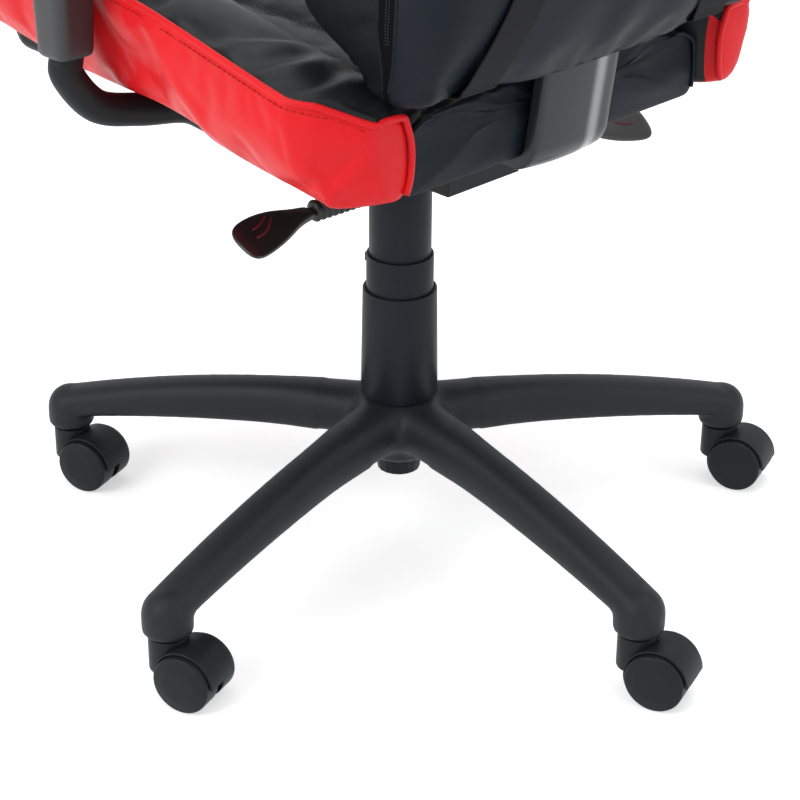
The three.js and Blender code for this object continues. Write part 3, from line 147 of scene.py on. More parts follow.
# Star base. One moulding of black glass-filled nylon: five arched legs that run out of a hub, each
# with a domed boss over its castor. The joints between legs are filled out with soft fillets.
def smooth(value, low, high):
    share = min(1.0, max(0.0, (value - low) / (high - low)))
    return share * share * (3 - 2 * share)


def lerp(low, high, share):
    return low + (high - low) * share


def extruded(bm, loop, closed=True):
    """The loop's edges extruded; the new vertices come back in the loop's order."""
    count = len(loop)
    edges = [bm.edges.get((loop[k], loop[(k + 1) % count])) for k in range(count if closed else count - 1)]
    made = bmesh.ops.extrude_edge_only(bm, edges=edges)["geom"]
    fresh = {v for v in made if isinstance(v, bmesh.types.BMVert)}
    return [next(e.other_vert(v) for e in v.link_edges if e.other_vert(v) in fresh) for v in loop]


def skinned(bm, rings, capped=True, closed=True):
    """Skin through rings of points: the first ring is drawn, and each other is extruded from the last."""
    first = [bm.verts.new(point) for point in rings[0]]
    count = len(first)
    for k in range(count if closed else count - 1):
        bm.edges.new((first[k], first[(k + 1) % count]))
    loop = first
    for ring in rings[1:]:
        loop = extruded(bm, loop, closed)
        for vert, point in zip(loop, ring):
            vert.co = point
    if capped:
        bmesh.ops.contextual_create(bm, geom=first)
        bmesh.ops.contextual_create(bm, geom=loop)
    return first, loop


def domed(bm, loop, push, across=(1, 1, 1)):
    """Rounded end on an open ring: steps drawn in towards the ring's middle and pushed out."""
    centre = sum((v.co for v in loop), Vector((0, 0, 0))) / len(loop)
    start = [v.co - centre for v in loop]
    for shrink, out in ((0.93, 0.4), (0.8, 0.7), (0.6, 0.88), (0.35, 0.97), (0.12, 1.0)):
        loop = extruded(bm, loop)
        for vert, way in zip(loop, start):
            drawn = Vector(way[k] * (1 - (1 - shrink) * across[k]) for k in range(3))
            vert.co = centre + drawn + Vector(push) * out
    bmesh.ops.contextual_create(bm, geom=loop)


def spun(bm, profile, steps, matrix=Matrix.Identity(4)):
    """Turned shape about Z from a profile of radius and height, then moved by the matrix."""
    before = set(bm.verts)
    points = [bm.verts.new((radius, 0, height)) for radius, height in profile]
    edges = [bm.edges.new((points[i], points[i + 1])) for i in range(len(points) - 1)]
    bmesh.ops.spin(bm, geom=points + edges, axis=(0, 0, 1), cent=(0, 0, 0), angle=math.tau,
                   steps=steps, use_merge=True)
    made = [v for v in bm.verts if v not in before]
    bmesh.ops.remove_doubles(bm, verts=made, dist=0.001)
    made = [v for v in bm.verts if v not in before]
    bmesh.ops.transform(bm, matrix=matrix, verts=made)
    return made


def rounded(points, radius, steps=4):
    """Open profile with its inner corners rounded off."""
    flat = [Vector(p) for p in points]
    out = [flat[0]]
    for before, here, after in zip(flat, flat[1:], flat[2:]):
        reach_in = min(radius, (before - here).length * 0.45)
        reach_out = min(radius, (after - here).length * 0.45)
        start = here + (before - here).normalized() * reach_in
        end = here + (after - here).normalized() * reach_out
        for i in range(steps + 1):
            share = i / steps
            out.append(start * (1 - share) ** 2 + here * 2 * share * (1 - share) + end * share ** 2)
    return [tuple(p) for p in out + [flat[-1]]]


def made_piece(name, bm, body, finish, stands_for=(), recalc=True):
    """Mesh object in the row frame from a bmesh in millimetres about the column's axis."""
    if recalc:
        bmesh.ops.recalc_face_normals(bm, faces=bm.faces)
    bmesh.ops.translate(bm, verts=bm.verts, vec=axis)
    bmesh.ops.scale(bm, verts=bm.verts, vec=(MM, MM, MM))
    mesh = bpy.data.meshes.new(name)
    bm.to_mesh(mesh)
    bm.free()
    mesh.polygons.foreach_set("use_smooth", [True] * len(mesh.polygons))
    for one in finish if isinstance(finish, (list, tuple)) else [finish]:
        mesh.materials.append(one)
    made = bpy.data.objects.new(name, mesh)
    bpy.context.scene.collection.objects.link(made)
    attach(made, body)
    if stands_for:
        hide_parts(*([stands_for] if isinstance(stands_for, str) else stands_for))
    return made


def creased(piece, degrees=35):
    """Sharp shading across edges that turn more than this."""
    mesh = piece.data
    bm = bmesh.new()
    bm.from_mesh(mesh)
    for edge in bm.edges:
        edge.smooth = len(edge.link_faces) != 2 or edge.calc_face_angle(0) < math.radians(degrees)
    bm.to_mesh(mesh)
    bm.free()
    return piece


def applied(piece):
    """The piece's modifiers, made into its mesh."""
    bpy.context.view_layer.update()
    depsgraph = bpy.context.evaluated_depsgraph_get()
    done = bpy.data.meshes.new_from_object(piece.evaluated_get(depsgraph), depsgraph=depsgraph)
    old = piece.data
    piece.modifiers.clear()
    piece.data = done
    bpy.data.meshes.remove(old)
    return piece


def moulded(name, colour, shade, roughness, grain_size, grain_depth, specular=0.24, drift_size=60, coat=0.0):
    """Moulded or painted surface: a colour that drifts a little, and a fine grain in its relief."""
    material = bpy.data.materials.new(name)
    material.use_nodes = True
    tree = material.node_tree
    shader = tree.nodes["Principled BSDF"]
    shader.inputs["Specular IOR Level"].default_value = specular
    shader.inputs["Coat Weight"].default_value = coat
    shader.inputs["Coat Roughness"].default_value = 0.12
    place = tree.nodes.new("ShaderNodeTexCoord")
    drift = tree.nodes.new("ShaderNodeTexNoise")
    drift.inputs["Scale"].default_value = 1000 / drift_size
    drift.inputs["Detail"].default_value = 5
    tree.links.new(place.outputs["Object"], drift.inputs["Vector"])
    mix = tree.nodes.new("ShaderNodeMix")
    mix.data_type = "RGBA"
    mix.inputs[6].default_value = (*shade, 1)
    mix.inputs[7].default_value = (*colour, 1)
    tree.links.new(drift.outputs["Fac"], mix.inputs[0])
    tree.links.new(mix.outputs[2], shader.inputs["Base Color"])
    rough = tree.nodes.new("ShaderNodeMapRange")
    rough.inputs["To Min"].default_value = roughness - 0.07
    rough.inputs["To Max"].default_value = roughness + 0.07
    tree.links.new(drift.outputs["Fac"], rough.inputs["Value"])
    tree.links.new(rough.outputs["Result"], shader.inputs["Roughness"])
    grain = tree.nodes.new("ShaderNodeTexNoise")
    grain.inputs["Scale"].default_value = 1000 / grain_size
    grain.inputs["Detail"].default_value = 3
    tree.links.new(place.outputs["Object"], grain.inputs["Vector"])
    bump = tree.nodes.new("ShaderNodeBump")
    bump.inputs["Strength"].default_value = 0.6
    bump.inputs["Distance"].default_value = grain_depth * MM
    tree.links.new(grain.outputs["Fac"], bump.inputs["Height"])
    tree.links.new(bump.outputs["Normal"], shader.inputs["Normal"])
    return material


nylon = moulded("grained_nylon", (0.019, 0.023, 0.026), (0.012, 0.015, 0.017), 0.5, 1.1, 0.22, 0.2, 45)
leg_count = 5
castor_circle = 320
leg_heading = math.radians(10.3)
hub_radius, hub_top, hub_bottom = 37, 142, 84
boss_radius, boss_bottom = 21, 58


def leg_angle(i):
    return leg_heading + math.tau * i / leg_count


def leg_rings():
    rings = []
    for share in (0.03, 0.08, 0.12, 0.16, 0.2, 0.25, 0.31, 0.38, 0.46, 0.55, 0.64, 0.73, 0.81, 0.88, 0.94, 1):
        near_hub = 1 - smooth(share, 0.1, 0.4)
        half = lerp(lerp(20, 19, share), 26, near_hub)
        top = lerp(142, 95, share ** 1.9)
        low = lerp(98, 68, share ** 2)
        ring = []
        for k in range(20):
            turn = math.tau * k / 20
            across = math.copysign(abs(math.cos(turn)) ** 0.72, math.cos(turn))
            rise = math.copysign(abs(math.sin(turn)) ** (0.9 if math.sin(turn) > 0 else 0.4), math.sin(turn))
            middle = lerp(low, top, 0.36)
            z = middle + rise * ((top - middle) if rise > 0 else (middle - low))
            ring.append((share * castor_circle, across * half * (0.93 if rise < -0.5 else 1), z))
        rings.append(ring)
    return rings


base_bm = bmesh.new()
boss_side = boss_bottom + 17
boss_profile = [(0, boss_bottom), (boss_radius - 2, boss_bottom), (boss_radius, boss_bottom + 2), (boss_radius, boss_side)]
boss_profile += [(boss_radius * math.cos(t), boss_side + 21 * math.sin(t)) for t in
                 (math.pi / 2 * k / 7 for k in range(1, 7))] + [(0, boss_side + 21)]
hub_profile = rounded([(0, hub_bottom), (hub_radius, hub_bottom), (hub_radius, hub_top), (0, hub_top)], 6)
spun(base_bm, hub_profile, 48)
for i in range(leg_count):
    turn = Matrix.Rotation(leg_angle(i), 4, "Z")
    before = set(base_bm.verts)
    skinned(base_bm, leg_rings())
    bmesh.ops.transform(base_bm, matrix=turn, verts=[v for v in base_bm.verts if v not in before])
    spun(base_bm, boss_profile, 36, turn @ Matrix.Translation((castor_circle, 0, 0)))
star_base = made_piece("star_base_moulding", base_bm, "base", nylon, "star_base")
joined = star_base.modifiers.new("joined", "REMESH")
joined.mode = "VOXEL"
joined.voxel_size = 0.0026
joined.use_smooth_shade = True
softened = star_base.modifiers.new("softened", "SMOOTH")
softened.factor = 0.5
softened.iterations = 5
applied(star_base)
# The fillets between the legs come from a further smoothing of the hub's part alone
base_bm = bmesh.new()
base_bm.from_mesh(star_base.data)
hub_middle = axis * MM
for step in range(26):
    near = [v for v in base_bm.verts if 0.030 < math.hypot(v.co.x - hub_middle.x, v.co.y - hub_middle.y) < 0.074]
    bmesh.ops.smooth_vert(base_bm, verts=near, factor=0.5, use_axis_x=True, use_axis_y=True, use_axis_z=True)
base_bm.to_mesh(star_base.data)
base_bm.free()
star_base.data.polygons.foreach_set("use_smooth", [True] * len(star_base.data.polygons))


# Castors. Each has a zinc stem, a nylon hood that swivels on it, and two nylon wheels with domed
# faces that roll on a short axle. The hood is one moulding: neck, guard round the wheels and web.
castor_nylon = moulded("castor_nylon", (0.014, 0.016, 0.018), (0.009, 0.0105, 0.012), 0.44, 0.9, 0.1, 0.17, 25)
zinc = moulded("zinc_plated_steel", (0.55, 0.56, 0.58), (0.42, 0.43, 0.44), 0.3, 2.0, 0.03)
zinc.node_tree.nodes["Principled BSDF"].inputs["Metallic"].default_value = 1.0
castor_headings = [math.radians(turn) for turn in (108.7, 108.7, 108.7, 50, 108.7)]
trail, wheel_radius, wheel_width = 23, 25, 19
web_half, hood_half = 3.5, 18
hood_inner, hood_outer = 26, 27.6
neck_radius, neck_top = 16.5, 56
wheel_inner = 4.0


def drum(bm, radius, low, high, steps, edge=0.0):
    """Cylinder about Z with an optional rounding of its two edges."""
    profile = [(0, low), (radius, low), (radius, high), (0, high)]
    return spun(bm, rounded(profile, edge) if edge else profile, steps)


def cut_by(piece, tool_bm, operation="DIFFERENCE"):
    """The piece's mesh, cut by or joined with a shape in the piece's own place."""
    bmesh.ops.recalc_face_normals(tool_bm, faces=tool_bm.faces)
    mesh = bpy.data.meshes.new("cutter")
    tool_bm.to_mesh(mesh)
    tool_bm.free()
    cutter = bpy.data.objects.new("cutter", mesh)
    bpy.context.scene.collection.objects.link(cutter)
    modifier = piece.modifiers.new("cut", "BOOLEAN")
    modifier.operation = operation
    modifier.solver = "EXACT"
    modifier.object = cutter
    applied(piece)
    bpy.data.objects.remove(cutter)
    bpy.data.meshes.remove(mesh)
    return piece


def plain_object(name, bm):
    """Unplaced object in millimetres, to be cut before it is made a piece."""
    bmesh.ops.recalc_face_normals(bm, faces=bm.faces)
    mesh = bpy.data.meshes.new(name)
    bm.to_mesh(mesh)
    bm.free()
    made = bpy.data.objects.new(name, mesh)
    bpy.context.scene.collection.objects.link(made)
    return made


to_axle = Matrix.Translation((trail, 0, wheel_radius)) @ Matrix.Rotation(math.pi / 2, 4, "X")


def hood_mesh():
    bm = bmesh.new()
    verts = drum(bm, hood_outer, -hood_half, hood_half, 72, 1.2)
    bmesh.ops.transform(bm, matrix=to_axle, verts=verts)
    hood = plain_object("hood", bm)
    neck = bmesh.new()
    drum(neck, neck_radius, wheel_radius, neck_top, 56, 1.2)
    cut_by(hood, neck, "UNION")
    for side in (-1, 1):
        room = bmesh.new()
        verts = drum(room, hood_inner, web_half, web_half + 2 * hood_half, 72)
        flip = Matrix.Identity(4) if side == 1 else Matrix.Rotation(math.pi, 4, "X")
        bmesh.ops.transform(room, matrix=to_axle @ flip, verts=verts)
        cut_by(hood, room)
    under = bmesh.new()
    bmesh.ops.create_cube(under, size=1)
    bmesh.ops.scale(under, verts=under.verts, vec=(100, 80, 50))
    bmesh.ops.translate(under, verts=under.verts, vec=(0, 0, -25))
    lean = Matrix.Rotation(math.atan2(8, wheel_radius), 4, "Y")
    bmesh.ops.transform(under, matrix=Matrix.Translation((trail, 0, wheel_radius - 8)) @ lean.inverted(),
                        verts=under.verts)
    cut_by(hood, under)
    eased = hood.modifiers.new("eased", "BEVEL")
    eased.width = 0.45
    eased.segments = 2
    eased.limit_method = "ANGLE"
    eased.angle_limit = math.radians(40)
    applied(hood)
    mesh = hood.data
    bpy.data.objects.remove(hood)
    return mesh


def wheel_bm():
    bm = bmesh.new()
    profile = rounded([(7, 7), (21, 7), (wheel_radius - 0.6, 0), (wheel_radius, 0.8),
                       (wheel_radius, wheel_width - 1.2), (wheel_radius - 1.4, wheel_width),
                       (15, wheel_width + 1.9), (0, wheel_width + 2.4)], 1.2)
    spun(bm, profile, 72)
    spun(bm, [(3.3, 0), (7, 0), (7, 7.2)], 36)
    return bm


hood_shape = hood_mesh()
for i in range(leg_count):
    label = f"castor_{i + 1}"
    centre = Matrix.Rotation(leg_angle(i), 4, "Z") @ Vector((castor_circle, 0, 0))
    swivel = Matrix.Translation(centre) @ Matrix.Rotation(castor_headings[i], 4, "Z")
    bm = bmesh.new()
    bm.from_mesh(hood_shape)
    bmesh.ops.transform(bm, matrix=swivel, verts=bm.verts)
    hood = made_piece(f"{label}_hood_moulding", bm, label, castor_nylon, f"{label}_hood")
    creased(hood, 30)
    for side, flip in (("left", -math.pi / 2), ("right", math.pi / 2)):
        bm = wheel_bm()
        outward = 1 if side == "left" else -1
        place = Matrix.Translation((trail, outward * wheel_inner, wheel_radius)) @ Matrix.Rotation(flip, 4, "X")
        bmesh.ops.transform(bm, matrix=swivel @ place, verts=bm.verts)
        wheel = made_piece(f"{label}_disc_{side}", bm, f"{label}_wheel_{side}", castor_nylon,
                           f"{label}_wheel_{side}")
        creased(wheel, 50)

    for part in ("stem", "axle"):
        nodes[f"{label}_{part}"].data.materials.clear()
        nodes[f"{label}_{part}"].data.materials.append(zinc)
bpy.data.meshes.remove(hood_shape)


# Column. A painted steel tube stands in the hub, with the gas cylinder, its rod, bush, clip and
# release button inside. These CAD solids are hidden by the cover and only get their finishes.
def dress(names, finish):
    """CAD nodes with their own finish."""
    for name in names.split():
        nodes[name].data.materials.clear()
        nodes[name].data.materials.append(finish)


black_steel = moulded("powder_coated_steel", (0.014, 0.0155, 0.017), (0.01, 0.011, 0.012), 0.5, 1.6, 0.12, 0.18)
chrome = moulded("ground_chrome", (0.75, 0.76, 0.78), (0.66, 0.67, 0.69), 0.16, 3, 0.01)
chrome.node_tree.nodes["Principled BSDF"].inputs["Metallic"].default_value = 1.0
acetal = moulded("white_acetal", (0.72, 0.72, 0.68), (0.64, 0.64, 0.6), 0.45, 1.5, 0.05)
dress("lift_outer_tube lift_gas_cylinder", black_steel)
dress("lift_piston_rod lift_release_button", chrome)
dress("lift_guide_bush", acetal)
dress("lift_retaining_clip pivot_shaft", zinc)

# Telescopic cover. Three nylon sleeves, turned smooth, each with a rolled-in lip at its top; the
# lower one stands on the hub, and the upper one hangs from the mechanism.
sleeve_nylon = moulded("sleeve_nylon", (0.0125, 0.0165, 0.021), (0.009, 0.012, 0.0155), 0.46, 1.3, 0.07, 0.16, 90)
cover_wall = 1.4
sleeves = (
    ("cover_lower_sleeve", "lower_sleeve_moulding", "base", 33.9, 32.3, 142.3, 242, 0.9),
    ("cover_middle_sleeve", "middle_sleeve_moulding", "cover_slider", 29.2, 29.2, 196, 274, 0.45),
    ("cover_upper_sleeve", "upper_sleeve_moulding", "mechanism", 26.9, 26.9, 248.7, 363.7, 0),
)
for node, label, body, foot, top, low, high, lip in sleeves:
    bm = bmesh.new()
    profile = [(foot - cover_wall, low), (foot - 0.3, low), (foot, low + 0.4), (lerp(foot, top, 0.5), lerp(low, high, 0.5)),
               (top, high - 0.9), (top - 0.25, high - 0.2), (top - 0.7, high), (top - cover_wall - lip, high - 0.15),
               (top - cover_wall - lip, high - 3), (top - cover_wall, high - 3.2), (foot - cover_wall, low)]
    spun(bm, profile, 96)
    creased(made_piece(label, bm, body, sleeve_nylon, node), 40)

# Snap tab on the middle sleeve's rim, a small moulded stop that shows on the chair's left
tab_bm = bmesh.new()
bmesh.ops.create_cube(tab_bm, size=1)
bmesh.ops.scale(tab_bm, verts=tab_bm.verts, vec=(1.6, 5, 7))
bmesh.ops.bevel(tab_bm, geom=tab_bm.edges[:], offset=0.7, offset_type="OFFSET", segments=3, profile=0.5,
                affect="EDGES", material=-1)
tab_turn = Matrix.Rotation(math.radians(-48), 4, "Z") @ Matrix.Translation((29.4, 0, 269.5))
bmesh.ops.transform(tab_bm, matrix=tab_turn, verts=tab_bm.verts)
creased(made_piece("middle_sleeve_tab", tab_bm, "cover_slider", sleeve_nylon))


# Tilt mechanism. A folded steel housing and the seat plate with its two rails and bolts are powder
# coated; their cut edges are slightly rounded. The pivot shaft is zinc plated.
def eased_edges(name, width, degrees=30):
    """Rounded edges on a CAD node, whose own mesh stays as it is."""
    node = nodes[name]
    weld = node.modifiers.new("welded", "WELD")
    weld.merge_threshold = 0.02 * MM
    eased = node.modifiers.new("eased", "BEVEL")
    eased.width = width * MM
    eased.segments = 2
    eased.limit_method = "ANGLE"
    eased.angle_limit = math.radians(degrees)


dress("mechanism_housing seat_plate back_bracket", black_steel)
for name in ("mechanism_housing", "seat_plate"):
    eased_edges(name, 0.8)

# Tension knob, a ribbed nylon grip on a steel screw, and the spring that it presses
knob_nylon = moulded("knob_nylon", (0.009, 0.01, 0.011), (0.006, 0.0068, 0.0075), 0.5, 1.2, 0.12, 0.14)
dress("tension_knob", knob_nylon)
eased_edges("tension_knob", 1.2, 25)


def pipe_rings(points, radius, sides, up=(0, 0, 1)):
    """Rings along a line of points, square to it; the radius is a number or one for each point."""
    points = [Vector(p) for p in points]
    rings = []
    across = None
    for i, point in enumerate(points):
        along = (points[min(i + 1, len(points) - 1)] - points[max(i - 1, 0)]).normalized()
        across = along.cross(Vector(up)) if across is None else across - along * across.dot(along)
        across = across.normalized()
        rise = across.cross(along)
        here = radius[i] if isinstance(radius, (list, tuple)) else radius
        rings.append([point + (across * math.cos(math.tau * j / sides) + rise * math.sin(math.tau * j / sides)) * here
                      for j in range(sides)])
    return rings


def eased_line(points, per_span=8):
    """Smooth line through points, as a Catmull-Rom curve."""
    p = [Vector(x) for x in points]
    p = [p[0] * 2 - p[1]] + p + [p[-1] * 2 - p[-2]]
    line = []
    for a, b, c, d in zip(p, p[1:], p[2:], p[3:]):
        for k in range(per_span):
            t = k / per_span
            line.append(0.5 * (2 * b + (c - a) * t + (2 * a - 5 * b + 4 * c - d) * t ** 2
                               + (3 * b - a - 3 * c + d) * t ** 3))
    return line + [p[-2]]


spring_bm = bmesh.new()
spring_points = []
for k in range(5 * 28 + 1):
    turn = math.tau * k / 28
    spring_points.append((13 * math.cos(turn), -80 + 13 * math.sin(turn), lerp(370.4, 394.4, k / 140)))
skinned(spring_bm, pipe_rings(spring_points, 1.8, 10))
made_piece("rocking_spring_wire", spring_bm, "mechanism", zinc, "rocking_spring")

# Levers. A bent steel rod comes out of the housing, with a glossy moulded paddle on its end and a
# ribbed rubber boot round it. The paddle's upper side has a shallow panel with a red stripe.
gloss = moulded("gloss_paddle", (0.016, 0.016, 0.017), (0.011, 0.011, 0.012), 0.3, 2.5, 0.04, 0.4, 18, 0.2)
rubber = moulded("boot_rubber", (0.013, 0.013, 0.014), (0.009, 0.009, 0.01), 0.42, 0.8, 0.08, 0.35)
stripe_red = moulded("stripe_red", (0.16, 0.012, 0.02), (0.09, 0.01, 0.014), 0.4, 1.5, 0.05)
paddle_start, paddle_tip, boot_start, boot_end, housing_side = 153.5, 234.5, 106, 152, 42
levers = (
    ("rocking_lock_lever", 1, 67, 46, 369, 22),
    ("height_lever", -1, 78, 52, 352, 42),
)
paddle_outline = ((0, 0.4, 0.86), (0.05, 0.44, 0.95), (0.16, 0.46, 1), (0.28, 0.6, 1), (0.38, 0.76, 1),
                  (0.5, 0.89, 0.98), (0.62, 0.96, 0.94), (0.76, 1, 0.88), (0.87, 0.96, 0.78),
                  (0.94, 0.84, 0.64), (0.985, 0.6, 0.42), (1, 0.3, 0.22))


def lever_point(side, root_y, tip_y, tip_z, reach):
    share = (reach - housing_side) / (paddle_tip - housing_side)
    return Vector((side * reach, lerp(root_y, tip_y, share), lerp(375, tip_z, share)))


def leaned(share, roll_deg, across, rise):
    """Place on the paddle's section, which sweeps back towards its tip and may be rolled."""
    roll = Matrix.Rotation(-math.radians(roll_deg) * smooth(share, 0, 0.3), 3, "X")
    return roll @ Vector((0, across, rise)) + Vector((0, 20 * share ** 2, 0))


for name, side, root_y, tip_y, tip_z, roll_deg in levers:
    def at(reach):
        return lever_point(side, root_y, tip_y, tip_z, reach)
    bm = bmesh.new()
    rings = []
    for share, wide, high in paddle_outline:
        centre = at(lerp(paddle_start, paddle_tip, share))
        ring = []
        for k in range(24):
            turn = math.tau * k / 24
            across = math.copysign(abs(math.cos(turn)) ** 0.75, math.cos(turn)) * wide * 20
            rise = math.copysign(abs(math.sin(turn)) ** 0.8, math.sin(turn)) * high * 4.5
            dish = 1.1 * smooth(share, 0.35, 0.6) * (1 - smooth(share, 0.8, 1)) * (1 - (across / 20) ** 2)
            ring.append(centre + leaned(share, roll_deg, across, rise - (dish if rise > 0 else -dish * 0.3)))
        rings.append(ring)
    skinned(bm, rings)
    rod = [(0, -4, 400.3), (0, 14, 400.3), (0, 39, 391)] if side == -1 else [at(31)]
    rod += [(-6, 63, 381), (-22, 76, 376)] if side == -1 else []
    rod += [at(44), at(56), at(boot_start), at(paddle_start + 24)]
    skinned(bm, pipe_rings(eased_line(rod), 4, 14))
    paddle = made_piece(f"{name}_paddle", bm, name, gloss, name)
    finer = paddle.modifiers.new("finer", "SUBSURF")
    finer.levels = finer.render_levels = 1

    stripe = bmesh.new()
    lines = (((0.46, -6), (0.56, 0), (0.66, 3), (0.78, 3)), ((0.5, -10), (0.62, -6), (0.74, -5)))
    for line in lines:
        points = [at(lerp(paddle_start, paddle_tip, share)) + leaned(share, roll_deg, across, 3.3) for share, across in line]
        skinned(stripe, pipe_rings(eased_line(points, 6), 1.0, 8))
    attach(made_piece(f"{name}_stripe", stripe, name, stripe_red), name)

    boot = bmesh.new()
    ribs, steps = 8, 10
    points, radii = [], []
    for k in range(ribs * steps + 1):
        points.append(at(lerp(boot_start, boot_end, k / (ribs * steps))))
        wave = 0.5 + 0.5 * math.cos(math.tau * k / steps + math.pi)
        radii.append(7 + 2 * wave ** 0.6)
    radii[0] = radii[-1] = 6.4
    skinned(boot, pipe_rings(points, radii, 28))
    made_piece(f"{name}_boot_rubber", boot, name, rubber, f"{name}_boot")


# Seat board. Plywood in the foam, seen only from below, with its own fine grain.
plywood = moulded("plywood", (0.42, 0.28, 0.15), (0.33, 0.21, 0.11), 0.75, 3.0, 0.2, 0.3, 40)
dress("seat_board", plywood)


# Seat. Foam under coated fabric with a leather grain. The centre cushion has channels sewn along
# it; the sides are bolsters with a red side, a black top and a piped edge between the two.
def leather(name, colour, shade, roughness, second=None, second_shade=None, specular=0.11):
    """Coated fabric with a pebbled grain. A second colour shows where the piece's own mark says so."""
    material = moulded(name, colour, shade, roughness, 1.4, 0.1, specular, 70)
    tree = material.node_tree
    shader = tree.nodes["Principled BSDF"]
    place = tree.nodes["Texture Coordinate"]
    bump = tree.nodes["Bump"]
    pebble = tree.nodes.new("ShaderNodeTexVoronoi")
    pebble.feature = "DISTANCE_TO_EDGE"
    pebble.inputs["Scale"].default_value = 720
    tree.links.new(place.outputs["Object"], pebble.inputs["Vector"])
    shallow = tree.nodes.new("ShaderNodeMapRange")
    shallow.inputs["From Max"].default_value = 0.32
    tree.links.new(pebble.outputs["Distance"], shallow.inputs["Value"])
    grain = tree.nodes.new("ShaderNodeBump")
    grain.inputs["Strength"].default_value = 0.35
    grain.inputs["Distance"].default_value = 0.16 * MM
    tree.links.new(shallow.outputs["Result"], grain.inputs["Height"])
    tree.links.new(bump.outputs["Normal"], grain.inputs["Normal"])
    tree.links.new(grain.outputs["Normal"], shader.inputs["Normal"])
    if second:
        drift = tree.nodes["Noise Texture"]
        other = tree.nodes.new("ShaderNodeMix")
        other.data_type = "RGBA"
        other.inputs[6].default_value = (*second_shade, 1)
        other.inputs[7].default_value = (*second, 1)
        tree.links.new(drift.outputs["Fac"], other.inputs[0])
        mark = tree.nodes.new("ShaderNodeAttribute")
        mark.attribute_name = "second_colour"
        side = tree.nodes.new("ShaderNodeMath")
        side.operation = "GREATER_THAN"
        side.inputs[1].default_value = 0.0
        tree.links.new(mark.outputs["Fac"], side.inputs[0])
        both = tree.nodes.new("ShaderNodeMix")
        both.data_type = "RGBA"
        first_mix = tree.nodes["Mix"]
        tree.links.new(side.outputs[0], both.inputs[0])
        tree.links.new(first_mix.outputs[2], both.inputs[6])
        tree.links.new(other.outputs[2], both.inputs[7])
        tree.links.new(both.outputs[2], shader.inputs["Base Color"])
    return material


red, red_shade = (0.8, 0.012, 0.018), (0.7, 0.009, 0.013)
black, black_shade = (0.012, 0.0135, 0.015), (0.008, 0.009, 0.0105)
charcoal, charcoal_shade = (0.0115, 0.0165, 0.023), (0.0085, 0.0125, 0.0175)
black_vinyl = leather("black_vinyl", black, black_shade, 0.4)
charcoal_vinyl = leather("charcoal_vinyl", charcoal, charcoal_shade, 0.46)
red_vinyl = leather("red_vinyl", red, red_shade, 0.4, specular=0.2)
side_vinyl = leather("side_vinyl", red, red_shade, 0.4, black, black_shade, 0.2)
thread = moulded("thread", (0.02, 0.02, 0.021), (0.014, 0.014, 0.015), 0.6, 0.5, 0.1)
red_thread = moulded("red_thread", (0.5, 0.012, 0.012), (0.4, 0.01, 0.01), 0.6, 0.5, 0.1)


def plumped(piece, held, pressure, grow, cap, frames=20):
    """Fabric blown up by its foam: held vertices stay, the rest swells and wrinkles up to a cap."""
    mesh = piece.data
    rest = [v.co.copy() for v in mesh.vertices]
    group = piece.vertex_groups.new(name="held")
    for weight in sorted(set(held)):
        if weight > 0:
            group.add([i for i, h in enumerate(held) if h == weight], weight, "REPLACE")
    cloth = piece.modifiers.new("foam", "CLOTH")
    cloth.settings.quality = 4
    cloth.settings.mass = 0.25
    cloth.settings.tension_stiffness = 12
    cloth.settings.compression_stiffness = 12
    cloth.settings.shear_stiffness = 5
    cloth.settings.bending_stiffness = 0.6
    cloth.settings.vertex_group_mass = "held"
    cloth.settings.use_pressure = True
    cloth.settings.uniform_pressure_force = pressure
    cloth.settings.shrink_min = -grow
    cloth.settings.effector_weights.gravity = 0
    cloth.collision_settings.use_collision = False
    cloth.point_cache.frame_start = 1
    cloth.point_cache.frame_end = frames
    scene = bpy.context.scene
    scene.frame_start, scene.frame_end = 1, frames
    for step in range(1, frames + 1):
        scene.frame_set(step)
    depsgraph = bpy.context.evaluated_depsgraph_get()
    blown = [v.co.copy() for v in piece.evaluated_get(depsgraph).to_mesh().vertices]
    piece.modifiers.clear()
    piece.vertex_groups.clear()
    scene.frame_set(1)
    for vert, start, end in zip(mesh.vertices, rest, blown):
        shift = end - start
        if not math.isfinite(shift.length):
            continue
        limit = cap * MM
        vert.co = start + shift * (limit * math.tanh(shift.length / limit) / max(shift.length, 1e-9))
    mesh.update()
    return piece


def resampled(points, count):
    """The same number of evenly spaced points along a line."""
    p = [Vector(x) for x in points]
    far = [0.0]
    for a, b in zip(p, p[1:]):
        far.append(far[-1] + (b - a).length)
    out = []
    span = 0
    for k in range(count):
        want = far[-1] * k / (count - 1)
        while span < len(p) - 2 and far[span + 1] < want:
            span += 1
        share = (want - far[span]) / max(far[span + 1] - far[span], 1e-9)
        out.append(p[span].lerp(p[span + 1], min(1, max(0, share))))
    return out


def along_bolster(share, back, middle, front):
    if share < 0.5:
        return lerp(back, middle, smooth(share, -0.1, 0.5))
    return lerp(middle, front, smooth(share, 0.5, 1.1))


def bolster_edges(share):
    """Named corners of a bolster's section at a share of its length from the rear."""
    y = lerp(186, -306, share)
    along = (171 - y) / 489
    inner = lerp(157, 166, smooth(along, 0.1, 0.9)) + lerp(8, 0.8, smooth(share, 0.02, 0.12))
    waist = 9 * math.exp(-(((y + 85) / 90) ** 2))
    end = min(share, 1 - share)
    tuck = (1 - end / 0.06) ** 2 * 12.8 if end < 0.06 else 0
    outer = 257 - waist - 28 * (1 - smooth(share, 0, 0.09)) - tuck
    under = min(232, outer - 14) - waist
    kink = 5 * smooth(y, 12, 44) - 2.5
    low = along_bolster(share, 422, 450, 486) + tuck / 2 - kink * smooth(share, 0.1, 0.25) * (1 - smooth(share, 0.4, 0.7))
    top = along_bolster(share, 504, 544, 558) - tuck
    return y, inner + tuck, under, outer, low, top, tuck


